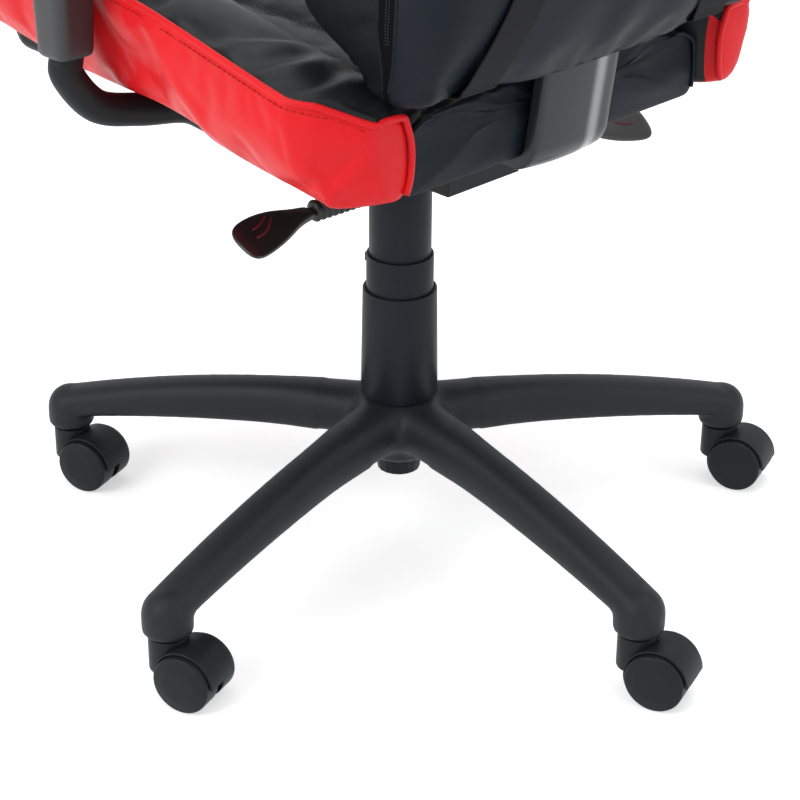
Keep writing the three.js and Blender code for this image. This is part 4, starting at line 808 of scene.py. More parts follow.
bolster_shares = [0.5 - 0.5 * math.cos(math.pi * k / 110) * abs(math.cos(math.pi * k / 110)) ** 0.15 for k in range(111)]
bottom_steps, side_steps, top_steps, inner_steps = 10, 16, 20, 12


def bolster_ring(side, share):
    y, inner, under, outer, low, top, tuck = bolster_edges(share)
    crown = 10 * smooth(share, 0, 0.16)
    inner_top = min(top - 12, 496 + (top - 504) * 0.35)
    crest = lerp(inner, outer, 0.42)
    flank = [(under, low + 3.5), (lerp(under, outer, 0.45), lerp(low, top, 0.2)), (lerp(under, outer, 0.8), lerp(low, top, 0.45)),
             (outer + 1.4, lerp(low, top, 0.76)), (outer, top - 2)]
    over = [(outer, top - 2), (outer - 7, top + 1), (lerp(crest, outer, 0.5), top + crown * 0.6), (crest, top + crown * 0.4),
            (lerp(inner, crest, 0.4), lerp(inner_top, top, 0.7)), (inner + 3.2, inner_top)]
    within = [(inner + 3.2, inner_top), (inner, lerp(low, inner_top, 0.62)), (inner + 1.6, low + 7), (inner + 8, low)]
    base = [(inner + 8, low), (under - 8, low), (under, low + 3.5)]
    ring = []
    for line, steps in ((base, bottom_steps), (flank, side_steps), (over, top_steps), (within, inner_steps)):
        shape = eased_line([(x, z, 0) for x, z in line], 6)
        ring += resampled(shape, steps + 1)[:-1]
    return [Vector((side * p.x, y, p.y)) for p in ring]


def wrinkled(point, side, row, share):
    """Folds of a bolster's cover: puckers on the black top near the rear, and creases in the red side."""
    x, y, z = side * point.x, point.y, point.z
    shift = Vector((0, 0, 0))
    flank = bottom_steps <= row < bottom_steps + side_steps
    up_flank = (row - bottom_steps) / side_steps if flank else 0
    over = (row - bottom_steps - side_steps) / top_steps
    if 0 <= over <= 1:
        hump = math.sin(math.pi * over) ** 0.8
        fold = math.sin(y / 5.6 + 2.2 * math.sin(over * 3.0 + y / 37) + 0.8 * math.sin(y / 17))
        place = smooth(y, 55, 105) * (1 - smooth(y, 168, 184))
        shift.z += 3.6 * hump * place * fold * (1.15 - over)
        soft = noise.noise(Vector((x * 0.02, y * 0.018, z * 0.02)))
        shift.z += 2.5 * hump * soft
    if flank:
        belly = math.sin(math.pi * up_flank)
        soft = noise.noise(Vector((y * 0.011, z * 0.022, 4.0 * side)))
        shift.x += 3.0 * belly * soft
        valley = math.exp(-(((y + 52 + (z - 492) * 0.9) / 26) ** 2))
        shift.x -= 6.0 * valley * belly ** 0.6
        sweep = math.exp(-(((y - 22 + (z - 492) * 0.75) / 15) ** 2))
        shift.x += 2.6 * sweep * belly
        crease = math.exp(-(((y - 150) / 6.5) ** 2))
        shift.x -= 2.4 * crease * (0.35 + 0.65 * up_flank)
        corner = math.exp(-(((y - 168 - (z - 442) * 0.5) / 5) ** 2)) * (1 - smooth(z, 454, 476))
        shift.x += 2.8 * corner
    return point + Vector((side * shift.x, shift.y, shift.z))


def bolster_bm(side):
    bm = bmesh.new()
    rings = [[wrinkled(p, side, row, share) for row, p in enumerate(bolster_ring(side, share))]
             for share in bolster_shares]
    first, last = skinned(bm, rings, capped=False)
    domed(bm, first, (0, 3, 0))
    domed(bm, last, (0, -3, 0))
    return bm


def piping_line(side):
    """Route of the piped edge: along the top of the side, round the rear corner and down the rear end."""
    line = []
    for share in [0.995 - k * 0.01 for k in range(97)]:
        y, inner, under, outer, low, top, tuck = bolster_edges(share)
        line.append((side * (outer + 0.4), y, top - 0.6))
    y, inner, under, outer, low, top, tuck = bolster_edges(0.0)
    line = line[:-1]
    line += [(side * x, 187 + lift, z) for x, lift, z in
             ((lerp(outer, inner, 0.06), -0.5, top), (lerp(outer, inner, 0.3), 1, top + 0.3), (lerp(outer, inner, 0.55), 2, top + 0.5),
              (lerp(outer, inner, 0.8), 2.4, top - 0.5), (inner + 5, 2.4, top - 5), (inner + 0.5, 2.2, top - 18),
              (inner - 1, 2.2, lerp(low, top, 0.5)), (inner + 0.5, 2.0, low + 14), (inner + 4, 1.5, low + 3))]
    return line


def stitch_row(bm, line, length=3.6, gap=1.6, radius=0.42):
    """Row of short stitches along a line, each a small rounded bar."""
    points = [Vector(p) for p in line]
    far = [0.0]
    for a, b in zip(points, points[1:]):
        far.append(far[-1] + (b - a).length)
    at_length, span = gap, 0

    def place(want):
        nonlocal span
        while span < len(points) - 2 and far[span + 1] < want:
            span += 1
        share = (want - far[span]) / max(far[span + 1] - far[span], 1e-9)
        return points[span].lerp(points[span + 1], min(1, max(0, share)))
    while at_length + length < far[-1]:
        start, end = place(at_length), place(at_length + length)
        if (end - start).length > 0.1:
            mid = (start + end) / 2
            skinned(bm, pipe_rings([start, start.lerp(mid, 0.3), end.lerp(mid, 0.3), end],
                                   [radius * 0.4, radius, radius, radius * 0.4], 5))
        at_length += length + gap


edge_row = bottom_steps + side_steps - 1


def marked_black(piece, rows):
    """Marks the black part of a bolster: the rows of its skin from the piped edge over to the seam."""
    mark = piece.data.attributes.new("second_colour", "FLOAT", "POINT")
    edge = bottom_steps + side_steps
    values = []
    for i in range(len(piece.data.vertices)):
        station, row = divmod(i, rows)
        inner_wall = row >= edge + top_steps
        red_end = station < (9 if inner_wall else 1) or station >= len(bolster_shares)
        values.append(-1.0 if red_end else row - edge - 0.25)
    mark.data.foreach_set("value", values)


for label, side in (("left", 1), ("right", -1)):
    bolster = made_piece(f"bolster_{label}", bolster_bm(side), "seat", side_vinyl, f"seat_bolster_{label}")
    rows = bottom_steps + side_steps + top_steps + inner_steps
    held = []
    for i in range(len(bolster.data.vertices)):
        station, row = divmod(i, rows)
        at_seam = row in (bottom_steps, bottom_steps + side_steps, bottom_steps + side_steps + top_steps)
        below = row < bottom_steps or row > bottom_steps + side_steps + top_steps
        held.append(1.0 if at_seam or below or station >= len(bolster_shares) - 2 or station < 2 else 0.0)
    plumped(bolster, held, 3.0, 0.02, 6)
    marked_black(bolster, rows)
    finer = bolster.modifiers.new("finer", "SUBSURF")
    finer.levels = finer.render_levels = 1
    piping = bmesh.new()
    skinned(piping, pipe_rings(eased_line(piping_line(side), 3), 2.7, 10))
    made_piece(f"bolster_piping_{label}", piping, "seat", red_vinyl)
    seam = bmesh.new()
    line = [wrinkled(bolster_ring(side, share)[edge_row], side, edge_row, share) + Vector((side * 0.6, 0, 0))
            for share in bolster_shares[3:-3]]
    stitch_row(seam, line, 4.2, 1.4, 0.6)
    made_piece(f"bolster_seam_{label}", seam, "seat", red_thread, recalc=False)


# Centre cushion. One foam block under black fabric with five channels sewn fore and aft; a charcoal
# panel closes its rear, with a thin welt down each side of that panel.
cushion_back, cushion_front, cushion_low, cushion_top = 171, -318, 419.3, 489
channel_pitch, channel_count = 44, 5


def cushion_ring(share):
    y = lerp(cushion_back, cushion_front, share)
    half = lerp(157, 166, smooth(share, 0.1, 0.9)) + 13 * (1 - smooth(share, 0, 0.03))
    end = min(share, 1 - share)
    if share < 0.5:
        tuck = (1 - end / 0.012) ** 2 * 2.5 if end < 0.012 else 0
    else:
        tuck = (1 - end / 0.05) ** 2 * 9.6 if end < 0.05 else 0
    drop = 26 * smooth(share, 0.72, 1) + 12 * (1 - smooth(share, 0, 0.2))
    top = cushion_top - drop - tuck
    low = cushion_low + tuck * 0.5
    half -= tuck
    ring = [(half * (1 - 2 * k / 20), y, low) for k in range(1, 20)][::-1]
    right = eased_line([(half - 8, low, 0), (half - 1, low + 6, 0), (half, lerp(low, top, 0.5), 0),
                        (half - 3, top - 8, 0), (half - 15, top, 0)], 5)
    ring += [(p.x, y, p.y) for p in resampled(right, 14)]
    deep = 4.5 * (1 - smooth(share, 0.9, 0.99)) * smooth(share, 0.0, 0.04)
    for k in range(1, 80):
        x = lerp(half - 15, -half + 15, k / 80)
        near = (x + channel_pitch * (channel_count - 1) / 2) / channel_pitch
        off = abs(near - math.floor(near + 0.5))
        inside = -0.5 < near < channel_count - 0.5
        dip = deep * math.exp(-((off * channel_pitch / 5) ** 2)) if inside else 0
        ring.append((x, y, top + 9 * math.cos(math.pi / 2 * x / half) - dip))
    ring += [(-p.x, y, p.y) for p in resampled(right, 14)[::-1]]
    return [Vector(p) for p in ring]


cushion_bm = bmesh.new()
cushion_rings = [cushion_ring(0.5 - 0.5 * math.cos(math.pi * k / 90)) for k in range(91)]
cushion_ends = skinned(cushion_bm, cushion_rings, capped=False)
domed(cushion_bm, cushion_ends[0], (0, 3, 0), (0.5, 1, 1))
domed(cushion_bm, cushion_ends[1], (0, -6, 0), (0.5, 1, 1))
cushion = made_piece("centre_cushion", cushion_bm, "seat", [black_vinyl, charcoal_vinyl], "seat_cushion")
for face in cushion.data.polygons:
    if face.center.y > (cushion_back + axis.y) * MM - 0.004 or (face.center.y > 0.105 and face.normal.z < 0.5):
        face.material_index = 1
held = []
for i, vert in enumerate(cushion.data.vertices):
    x, z = (vert.co.x - axis.x * MM) / MM, vert.co.z / MM
    near = (x + channel_pitch * (channel_count - 1) / 2) / channel_pitch
    sewn = abs(near - math.floor(near + 0.5)) * channel_pitch < 2.2 and z > 455 and -0.5 < near < channel_count - 0.5
    held.append(1.0 if sewn or z < 430 else 0.0)
plumped(cushion, held, 2.5, 0.01, 5)
finer = cushion.modifiers.new("finer", "SUBSURF")
finer.levels = finer.render_levels = 1


# Stitches down the channels of the seat, two rows to a channel
seat_stitches = bmesh.new()
for channel in range(channel_count):
    for beside in (-2.6, 2.6):
        x = channel_pitch * (channel - (channel_count - 1) / 2) + beside
        line = []
        for ring, k in zip(cushion_rings, range(91)):
            if 2 <= k <= 86:
                top = [p for p in ring if p.z > 445]
                nearest = min(top, key=lambda p: abs(p.x - x))
                line.append((x, nearest.y, nearest.z + 1.9))
        stitch_row(seat_stitches, line)
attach(made_piece("seat_stitches", seat_stitches, "seat", thread, recalc=False), "seat")

# Welts beside the rear panel, each a thin covered cord
for label, side in (("left", 1), ("right", -1)):
    welt = bmesh.new()
    edge = [p for p in cushion_rings[2] if side * p.x > 140 and p.z > 424]
    line = [(p.x - side * 1.5, p.y + 2.0, p.z) for p in sorted(edge, key=lambda p: p.z)[::2]]
    skinned(welt, pipe_rings(eased_line(line), 1.5, 8))
    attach(made_piece(f"rear_panel_welt_{label}", welt, "seat", charcoal_vinyl), "seat")


# Back bracket and its cover. The bracket is a bent steel flat; the cover is a satin moulded
# channel that slips over its bend.
satin_cover = moulded("satin_cover", (0.02, 0.023, 0.027), (0.016, 0.019, 0.022), 0.3, 0.6, 0.05, 0.3, 80)


def painted_highlight(material, middle, half_width, gleam):
    """Painted highlight: a streak of strong clear coat up a surface, about a place across it, that fades to both sides.
    """
    tree = material.node_tree
    shader = tree.nodes["Principled BSDF"]
    across = tree.nodes.new("ShaderNodeSeparateXYZ")
    tree.links.new(tree.nodes["Texture Coordinate"].outputs["Object"], across.inputs[0])
    off = tree.nodes.new("ShaderNodeMath")
    off.operation = "SUBTRACT"
    off.inputs[1].default_value = middle
    tree.links.new(across.outputs["X"], off.inputs[0])
    far = tree.nodes.new("ShaderNodeMath")
    far.operation = "ABSOLUTE"
    tree.links.new(off.outputs[0], far.inputs[0])
    fade = tree.nodes.new("ShaderNodeMapRange")
    fade.interpolation_type = "SMOOTHERSTEP"
    fade.inputs["From Max"].default_value = half_width
    fade.inputs["To Min"].default_value = gleam
    fade.inputs["To Max"].default_value = 0.0
    tree.links.new(far.outputs[0], fade.inputs["Value"])
    tree.links.new(fade.outputs["Result"], shader.inputs["Coat Weight"])
    shader.inputs["Coat Roughness"].default_value = 0.2
    shader.inputs["Coat IOR"].default_value = 2.4


# Painted highlight on the bracket cover: a band of strong clear coat 21 mm to the side of the axis and 11 mm to each
# side of that, fixed to the piece. It stands in for a reflection, and the cover has no polished band of its own.
painted_highlight(satin_cover, (axis.x - 21) * MM, 0.011, 0.9)
lean = math.tan(math.radians(8))
cover_profile = [(-43, -2.3), (-43, 5.6), (-42.4, 7), (-41, 7.7)]
cover_profile += [(x, 7.7 + 2.4 * (1 - (x / 41) ** 2)) for x in range(-36, 37, 6)]
cover_profile += [(41, 7.7), (42.4, 7), (43, 5.6), (43, -2.3), (40.5, -2.3), (40.5, 4.6), (0, 5.2), (-40.5, 4.6), (-40.5, -2.3)]
cover_path = [(128 + 3.5 * k, 416, -math.pi / 2) for k in range(10)]
cover_path += [(163 + 17 * math.cos(turn), 433 + 17 * math.sin(turn), turn)
               for turn in (-math.pi / 2 + math.radians(82) * k / 20 for k in range(21))]
last_y, last_z, last_turn = cover_path[-1]
cover_path += [(last_y + (z - last_z) * lean, z, last_turn) for z in (lerp(last_z, 496, k / 12) for k in range(1, 13))]
cover_bm = bmesh.new()
skinned(cover_bm, [[Vector((x, y + high * math.cos(turn), z + high * math.sin(turn))) for x, high in cover_profile]
                   for y, z, turn in cover_path])
creased(made_piece("satin_bracket_cover", cover_bm, "seat", satin_cover, "bracket_cover"), 60)
dress("back_bracket seat_plate mechanism_housing", black_steel)

# Backrest. A padded shell in vinyl: black centre, red borders on its wings with piping, a black
# rear with a charcoal band sewn along its zip, and two moulded frames in its harness slots.
back_foot, back_top = 492, 1254
back_shoulder, back_neck = back_top - 277, back_top - 172
slot_z, slot_x, slot_half_length, slot_half_height = back_top - 194, 86, 46, 20
back_rows = 132


def back_rear(z):
    rise = min(1, max(0, (z - back_foot) / 70))
    return 216 + 10 * (1 - (1 - rise) ** 2) + (z - back_foot) * lean


def back_half(z):
    if z < back_shoulder:
        return lerp(196, 262, smooth(z, back_foot, back_shoulder))
    if z < back_neck:
        return lerp(262, 172, smooth(z, back_shoulder, back_neck))
    return lerp(172, 152, smooth(z, back_neck, back_top))


def back_wing(z):
    grown = lerp(60, 146, smooth(z, back_foot - 4, back_foot + 68))
    return lerp(grown, 81.9, smooth(z, back_shoulder - 70, back_neck))


def foot_lift(x, share):
    return (8 + 10 * math.exp(-(((abs(x) - 140) / 45) ** 2))) * (1 - smooth(share, 0, 0.2))


def back_section(share):
    """Closed outline across the back at a height: (x, forward) pairs, resampled to an even count."""
    z = lerp(back_foot, back_top, share)
    end = (1 - share) * 1.4
    tuck = (1 - end / 0.055) ** 2 * 15.6 if end < 0.055 else 0
    tuck = (1 - share / 0.012) ** 2 * 4 if share < 0.012 else tuck
    half, wing = back_half(z) - tuck, back_wing(z) - tuck
    middle = min(78, wing) - tuck * 0.3
    side, edge = min(26, (wing - tuck) * 0.36), 78
    rear = [(0, tuck), (half * 0.45, tuck + side * 0.04), (half - side * 1.15, tuck + side * 0.22),
            (half - side * 0.3, tuck + side * 0.6), (half, tuck + side * 1.25)]
    flank = [(half, tuck + side * 1.25), (half, lerp(tuck, wing, 0.55)), (half - side * 0.12, wing - side * 0.35),
             (half - side * 0.6, wing)]
    front = [(half - side * 0.6, wing), (half - side * 1.7, wing - side * 0.3), (half - edge, lerp(wing, middle, 0.7)),
             (half - edge * 1.3, middle), (half * 0.3, middle - side * 0.08), (0, middle - side * 0.1)]
    ring = []
    for line, steps in ((rear, 24), (flank, 14), (front, 30)):
        ring += resampled(eased_line([(x, f, 0) for x, f in line], 6), steps + 1)[:-1]
    right = [(p.x, p.y) for p in ring] + [(0, middle - side * 0.1)]
    left = [(-x, f) for x, f in right[1:-1]][::-1]
    place = []
    for x, forward in right + left:
        place.append(Vector((x, back_rear(z) - forward, z + foot_lift(x, share))))
    return place


def back_shares():
    return [0.5 - 0.5 * math.cos(math.pi * k / back_rows) * abs(math.cos(math.pi * k / back_rows)) ** 0.2
            for k in range(back_rows + 1)]


def back_wrinkles(point, share):
    """Soft unevenness of a padded cover, stronger on the front, and folds low on the rear."""
    x, y, z = point
    rear = back_rear(z)
    ahead = rear - y
    soft = noise.noise(Vector((x * 0.009, z * 0.009, 7.0)))
    fine = noise.noise(Vector((x * 0.03, z * 0.022, 2.0)))
    shift = 2.2 * soft + 0.7 * fine
    if ahead < 22:
        low = 1 - smooth(z, back_foot + 20, back_foot + 120)
        fold = math.sin((x * 0.9 + (z - back_foot) * 0.6) / 13 + 1.4 * math.sin(x / 41))
        shift = -0.8 * shift - 1.0 * low * fold * smooth(z, back_foot + 6, back_foot + 30)
    hollow = math.exp(-((x / 95) ** 2)) * smooth(z, back_foot + 150, back_foot + 240) * (1 - smooth(z, back_neck - 160, back_neck - 40))
    if ahead > 40:
        shift -= 6 * hollow
    return point + Vector((0, -shift, 0))


back_bm = bmesh.new()
back_rings = [[back_wrinkles(p, s) for p in back_section(s)] for s in back_shares()]
back_ends = skinned(back_bm, back_rings, capped=False)
domed(back_bm, back_ends[0], (0, 0, -3), (0.3, 1, 1))
domed(back_bm, back_ends[1], (0, 0, 4), (0.35, 1, 1))


def stadium(side, grow, y, lean_from=slot_z):
    """Outline of a harness slot at a depth, leaning with the back."""
    points = []
    reach = slot_half_length - slot_half_height
    for k in range(40):
        turn = math.tau * k / 40
        x = math.copysign(reach, math.cos(turn)) + (slot_half_height + grow) * math.cos(turn)
        z = (slot_half_height + grow) * math.sin(turn)
        points.append(Vector((side * slot_x + x, y + z * lean, slot_z + z)))
    return points


# Rows 0 to 24 are the rear, 24 to 38 the side and 38 to 68 the front, then the same mirrored.
back_total = 136
rear_edge, tape_end, side_end, wing_end = 25, 27, 38, 50
zip_tape = moulded("zip_tape", (0.006, 0.006, 0.007), (0.004, 0.004, 0.005), 0.8, 0.7, 0.15, 0.05)
backrest_pieces = [charcoal_vinyl, black_vinyl, red_vinyl, zip_tape]
backrest = made_piece("padded_back", back_bm, "seat", backrest_pieces, "backrest")
for face in backrest.data.polygons:
    rows = [i % back_total for i in face.vertices if i < back_total * (back_rows + 1)]
    if rows:
        row = min(rows) if max(rows) - min(rows) < 4 else 0
        row = min(row, back_total - 1 - row)
        face.material_index = 0 if row < rear_edge else 3 if row < tape_end else 2 if side_end <= row < wing_end else 1
held = []
for i in range(len(backrest.data.vertices)):
    station, row = divmod(i, back_total)
    row = min(row, back_total - row)
    seam = row in (rear_edge, tape_end, side_end, wing_end)
    held.append(1.0 if seam or station < 3 or station > back_rows - 3 else 0.0)
plumped(backrest, held, 2.0, 0.01, 3, 10)
for side in (-1, 1):
    cutter = bmesh.new()
    depth = [Vector(p) + axis for p in stadium(side, 0.5, back_rear(slot_z) + 60)]
    near = [Vector(p) + axis for p in stadium(side, 0.5, back_rear(slot_z) - 160)]
    skinned(cutter, [[p * MM for p in depth], [p * MM for p in near]])
    cut_by(backrest, cutter)

# Moulded frames in the two harness slots
for label, side in (("left", 1), ("right", -1)):
    frame_bm = bmesh.new()
    rear_y = back_rear(slot_z) + 1.2
    front_y = back_rear(slot_z) - 78 + 2
    profile = [(6.5, rear_y), (6, rear_y + 1.8), (3.5, rear_y + 3), (0.8, rear_y + 2.2), (0, rear_y), (0, front_y),
               (0.8, front_y - 2.2), (3.5, front_y - 3), (6, front_y - 1.8), (6.5, front_y), (3, front_y + 1.5),
               (2, front_y + 4), (2, rear_y - 4), (3, rear_y - 1.5)]
    loops = [stadium(side, grow, y) for grow, y in profile]
    stations = [[loop[k % 40] for loop in loops] for k in range(41)]
    skinned(frame_bm, stations, capped=False)
    bmesh.ops.remove_doubles(frame_bm, verts=frame_bm.verts, dist=0.01)
    made_piece(f"slot_frame_{label}", frame_bm, "seat", nylon)


def back_row(row, mirrored, low=0.02, high=0.98, out=0.0):
    """Line up the backrest along a row of its skin, pushed out of the surface a little."""
    line = []
    index = (back_total - row) % back_total if mirrored else row
    for share, ring in zip(back_shares(), back_rings):
        if low <= share <= high:
            here, before, after = ring[index], ring[index - 1], ring[(index + 1) % back_total]
            along = (after - before).normalized()
            outward = Vector((along.y, -along.x, 0))
            line.append(here + outward * out)
    return line


# Welts and zip up the edge between side and rear, and piping at the wings' front edges
for label, mirrored in (("left", False), ("right", True)):
    for part, row, radius, finish, slot in (("rear_welt", rear_edge, 1.3, charcoal_vinyl, "charcoal_vinyl"),
                                            ("side_welt", tape_end, 1.3, black_vinyl, "black_vinyl"),
                                            ("wing_piping", side_end, 2.2, black_vinyl, "black_vinyl"),
                                            ("panel_piping", wing_end, 1.6, black_vinyl, "black_vinyl")):
        welt = bmesh.new()
        skinned(welt, pipe_rings(back_row(row, mirrored, 0.012, 0.985, 0.3), radius, 8))
        made_piece(f"back_{part}_{label}", welt, "seat", finish)
    zip_bm = bmesh.new()
    for shift in (-1.3, 1.3):
        middle = [a.lerp(b, 0.5 + shift / 17) for a, b in
                  zip(back_row(rear_edge, mirrored, 0.03, 0.97, 1.0), back_row(tape_end, mirrored, 0.03, 0.97, 1.0))]
        stitch_row(zip_bm, resampled(middle, 900), 1.5, 0.9, 0.95)
    made_piece(f"back_zip_{label}", zip_bm, "seat", nylon, recalc=False)

# Pillow straps. Flat webbing from each harness slot down the rear, round the lower edge and up
# the front behind the pillow.
webbing = moulded("webbing", (0.014, 0.0145, 0.016), (0.008, 0.008, 0.009), 0.8, 0.9, 0.28, 0.2, 12)
slot_low = slot_z - slot_half_height / 2


def back_surface(x, z, front):
    """Depth of the backrest's rear or front surface at a place across and up."""
    share = (z - back_foot) / (back_top - back_foot)
    share -= foot_lift(x, share) / (back_top - back_foot)
    ring = back_section(min(0.999, max(0.004, share)))
    rows = ring[:25] if not front else ring[44:69]
    x = abs(x)
    for a, b in zip(rows, rows[1:]):
        if min(a.x, b.x) <= x <= max(a.x, b.x) and abs(a.x - b.x) > 1e-6:
            return lerp(a.y, b.y, (x - a.x) / (b.x - a.x))
    return rows[-1].y


for label, side in (("left", 1), ("right", -1)):
    def strap_x(z):
        return 96 + (46 if side > 0 else 26) * (1 - smooth(z, back_foot - 12, back_foot + 148))

    route = []
    clear, strap_low = 4.8, back_foot + 20
    for k in range(90):
        z = lerp(slot_low, strap_low, k / 89)
        route.append((z, back_surface(side * strap_x(z), z, False) + clear))
    low_rear = back_surface(side * strap_x(strap_low), strap_low, False)
    low_front = back_surface(side * strap_x(strap_low), strap_low, True)
    for k in range(1, 16):
        share = k / 16
        depth = lerp(low_rear + clear, low_front - clear, 0.5 - 0.5 * math.cos(math.pi * share))
        route.append((strap_low - 7 * math.sin(math.pi * share) ** 0.5, depth))
    for k in range(90):
        z = lerp(strap_low, slot_low, k / 89)
        route.append((z, back_surface(side * strap_x(z), z, True) - clear))
    strap_bm = bmesh.new()
    rings = []
    for k, (z, y) in enumerate(route):
        before, after = route[max(k - 1, 0)], route[min(k + 1, len(route) - 1)]
        along = Vector((0, after[1] - before[1], after[0] - before[0])).normalized()
        out = Vector((0, along.z, -along.y)) * -1
        wave = 0.5 * noise.noise(Vector((z * 0.02, y * 0.01, side * 3.0)))
        ring = []
        for across, high in ((-19, 0), (-18.2, 0.8), (-12, 0.85), (0, 0.9), (12, 0.85), (18.2, 0.8), (19, 0), (18.2, -0.8), (0, -0.8), (-18.2, -0.8)):
            ring.append(Vector((side * strap_x(z) + across, y, z)) + out * (high + wave))
        rings.append(ring)
    skinned(strap_bm, rings)
    strap = made_piece(f"webbing_strap_{label}", strap_bm, "seat", webbing, f"strap_{label}")
    creased(strap, 40)
    through = bmesh.new()
    top = slot_low - 0.5
    x = side * strap_x(top)
    line = [(x, back_surface(x, top, False) + 2.2, top - 3), (x, back_surface(x, top, False) + 1.2, top + 0.6),
            (x, back_surface(x, top, False) - 6, top + 1.2), (x, back_surface(x, top, True) + 6, top + 1.2),
            (x, back_surface(x, top, True) - 1.2, top + 0.6), (x, back_surface(x, top, True) - 2.2, top - 3)]
    rings = []
    for point in resampled(eased_line(line), 40):
        rings.append([Vector((point.x + across, point.y, point.z + high)) for across, high in
                      ((-19, 0), (-18.2, 0.8), (0, 0.9), (18.2, 0.8), (19, 0), (18.2, -0.8), (0, -0.8), (-18.2, -0.8))])
    skinned(through, rings)
    made_piece(f"webbing_bridge_{label}", through, "seat", webbing)

# Lumbar pillow. Red vinyl over fibre filling, with a black piped seam round its edge.
pillow_z, pillow_half_width, pillow_half_height, pillow_thick = 647, 148, 92, 88
pillow_bm = bmesh.new()
pillow_y = back_rear(pillow_z) - 78 - pillow_thick * 0.28
pillow_rings = []
around, stations = 72, 90
for k in range(stations + 1):
    share = -math.cos(math.pi * k / stations) * 0.992
    swell = math.sqrt(max(0, 1 - abs(share) ** 2.6))
    high = pillow_half_height * (0.66 + 0.34 * swell)
    thick = pillow_thick * (0.06 + 0.94 * swell)
    ring = []
    for j in range(around):
        turn = math.tau * (j + 0.5) / around
        z = high * math.copysign(abs(math.sin(turn)) ** 0.7, math.sin(turn))
        y = thick / 2 * math.copysign(abs(math.cos(turn)) ** 0.8, math.cos(turn))
        rib = math.sin(z / 6 + 1.5 * math.sin(share * 9)) * smooth(abs(share), 0.7, 0.97) * 1.4
        fold = 2.2 * noise.noise(Vector((share * 3.1, z * 0.02, y * 0.02 + 5)))
        y += (rib + fold) * math.copysign(1, math.cos(turn)) * abs(math.cos(turn)) ** 0.5
        ring.append(Vector((share * pillow_half_width, min(pillow_y + y, pillow_y + 24.0) + z * lean, pillow_z + z)))
    pillow_rings.append(ring)
pillow_ends = skinned(pillow_bm, pillow_rings, capped=False)
domed(pillow_bm, pillow_ends[0], (-1, 0, 0))
domed(pillow_bm, pillow_ends[1], (1, 0, 0))
pillow = made_piece("red_pillow", pillow_bm, "seat", red_vinyl, "lumbar_pillow")
held = []
for i in range(len(pillow.data.vertices)):
    station, row = divmod(i, around)
    seam = row in (around // 4 - 1, around // 4, 3 * around // 4 - 1, 3 * around // 4)
    held.append(1.0 if seam or station < 2 or station > stations - 2 else 0.0)
plumped(pillow, held, 1.5, 0.01, 3, 14)
finer = pillow.modifiers.new("finer", "SUBSURF")
finer.levels = finer.render_levels = 1
pillow_piping = bmesh.new()
edge = [ring[around // 4].lerp(ring[around // 4 - 1], 0.5) for ring in pillow_rings]
edge += [ring[3 * around // 4].lerp(ring[3 * around // 4 - 1], 0.5) for ring in pillow_rings[::-1]]
edge = [p + Vector((0, 0, 0)) for p in edge]
skinned(pillow_piping, pipe_rings(edge + [edge[0]], 2.4, 8), capped=False)
bmesh.ops.remove_doubles(pillow_piping, verts=pillow_piping.verts, dist=0.01)
made_piece("pillow_piping", pillow_piping, "seat", black_vinyl)

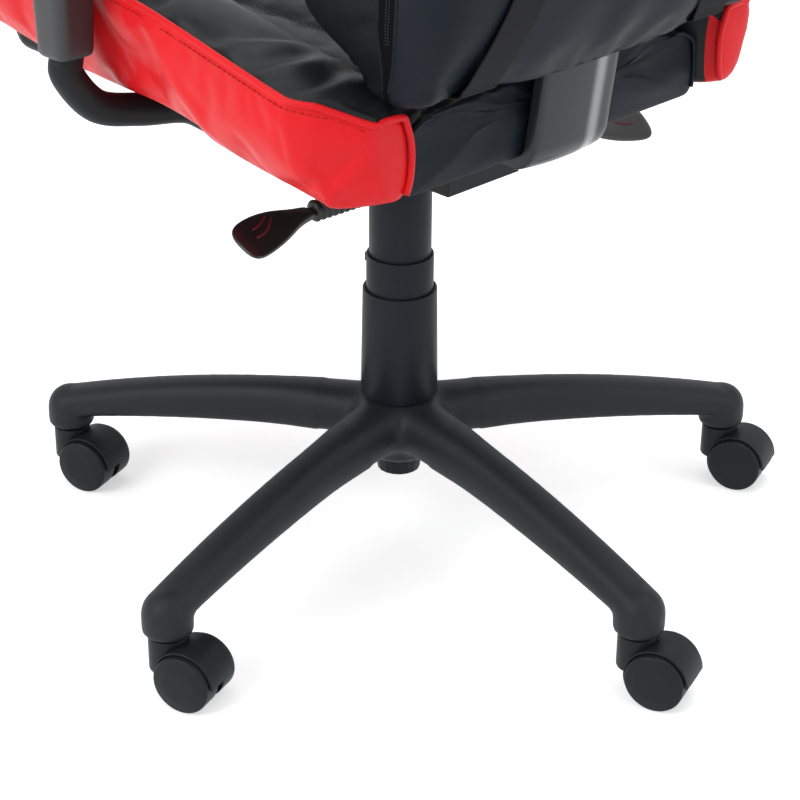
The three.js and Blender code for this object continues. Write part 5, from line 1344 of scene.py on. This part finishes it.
# Armrests. A bent steel tube rises from the seat plate through a moulded sleeve that carries a
# foamed pad; the sleeve's lower rim and the pad's edge are rounded.
arm_y, post_x = -85, 275
arm_nylon = moulded("arm_nylon", (0.03, 0.031, 0.033), (0.022, 0.022, 0.024), 0.42, 1.2, 0.16, 0.5, 80)
for label, side in (("left", 1), ("right", -1)):
    tube_bm = bmesh.new()
    route = ((103.7, 402.4), (128, 404.4), (160, 423), (208, 433), (249.5, 446.4), (275, 476.9), (275, 494), (275, 520.6), (275, 640))
    skinned(tube_bm, pipe_rings(eased_line([(side * x, arm_y, z) for x, z in route], 10), 13.3, 32, (0, 1, 0)))
    tube = made_piece(f"bent_tube_{label}", tube_bm, "seat", black_steel, f"arm_tube_{label}")
    creased(tube, 50)
    plate_bm = bmesh.new()
    bmesh.ops.create_cube(plate_bm, size=1)
    bmesh.ops.scale(plate_bm, verts=plate_bm.verts, vec=(31, 96, 4))
    bmesh.ops.translate(plate_bm, verts=plate_bm.verts, vec=(side * 112.5, arm_y, 417))
    bmesh.ops.bevel(plate_bm, geom=plate_bm.edges[:], offset=1, segments=3, profile=0.5, affect="EDGES", material=-1)
    creased(made_piece(f"tube_plate_{label}", plate_bm, "seat", black_steel), 60)
    sleeve_bm = bmesh.new()
    rings = []
    for drawn, z in [(3.6, 494), (1.4, 494.5), (0.4, 496), (0, 499)] + [(0, lerp(505, 664, k / 14)) for k in range(15)] + [(0.3, 667), (1.5, 668)]:
        share = (z - 494) / 174
        half_x = lerp(17.3, 22, share) - drawn
        half_y = (lerp(17.3, 21.1, share * 2) if share < 0.5 else lerp(21.1, 35.2, share * 2 - 1)) - drawn
        ring = []
        for j in range(64):
            turn = math.tau * j / 64
            ring.append((side * post_x + half_x * math.copysign(abs(math.cos(turn)) ** 0.45, math.cos(turn)),
                         arm_y + half_y * math.copysign(abs(math.sin(turn)) ** 0.45, math.sin(turn)), z))
        rings.append(ring)
    skinned(sleeve_bm, rings)
    sleeve = made_piece(f"post_sleeve_{label}", sleeve_bm, "seat", arm_nylon, f"arm_sleeve_{label}")
    creased(sleeve, 55)
pad_skin = moulded("pad_skin", (0.025, 0.026, 0.028), (0.019, 0.02, 0.021), 0.5, 1.1, 0.22, 0.45, 60)
pad_low, pad_high, pad_half_length, pad_half_width, pad_y = 668.4, 694.6, 131, 39, -97
for label, side in (("left", 1), ("right", -1)):
    pad_bm = bmesh.new()
    pad_rings = []
    for k in range(81):
        share = -math.cos(math.pi * k / 80)
        plan = (1 - abs(share) ** 5) ** 0.4 * 0.86 + 0.14 * (1 - share ** 2)
        half = pad_half_width * max(0.06, plan)
        ring = []
        for j in range(48):
            turn = math.tau * (j + 0.5) / 48
            x = half * math.copysign(abs(math.cos(turn)) ** 0.42, math.cos(turn))
            z = math.copysign(abs(math.sin(turn)) ** 0.42, math.sin(turn)) * 13 * min(1, 0.35 + plan)
            dish = -1.6 * (1 - (x / pad_half_width) ** 2) * smooth(1 - abs(share), 0, 0.3) if z > 0 else 0
            ring.append(Vector((side * post_x + x, pad_y + share * (pad_half_length - 0.5), (pad_low + pad_high) / 2 + z + dish)))
        pad_rings.append(ring)
    pad_ends = skinned(pad_bm, pad_rings, capped=False)
    domed(pad_bm, pad_ends[0], (0, -0.5, 0))
    domed(pad_bm, pad_ends[1], (0, 0.5, 0))
    pad = made_piece(f"foamed_pad_{label}", pad_bm, "seat", pad_skin, f"arm_pad_{label}")

low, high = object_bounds()
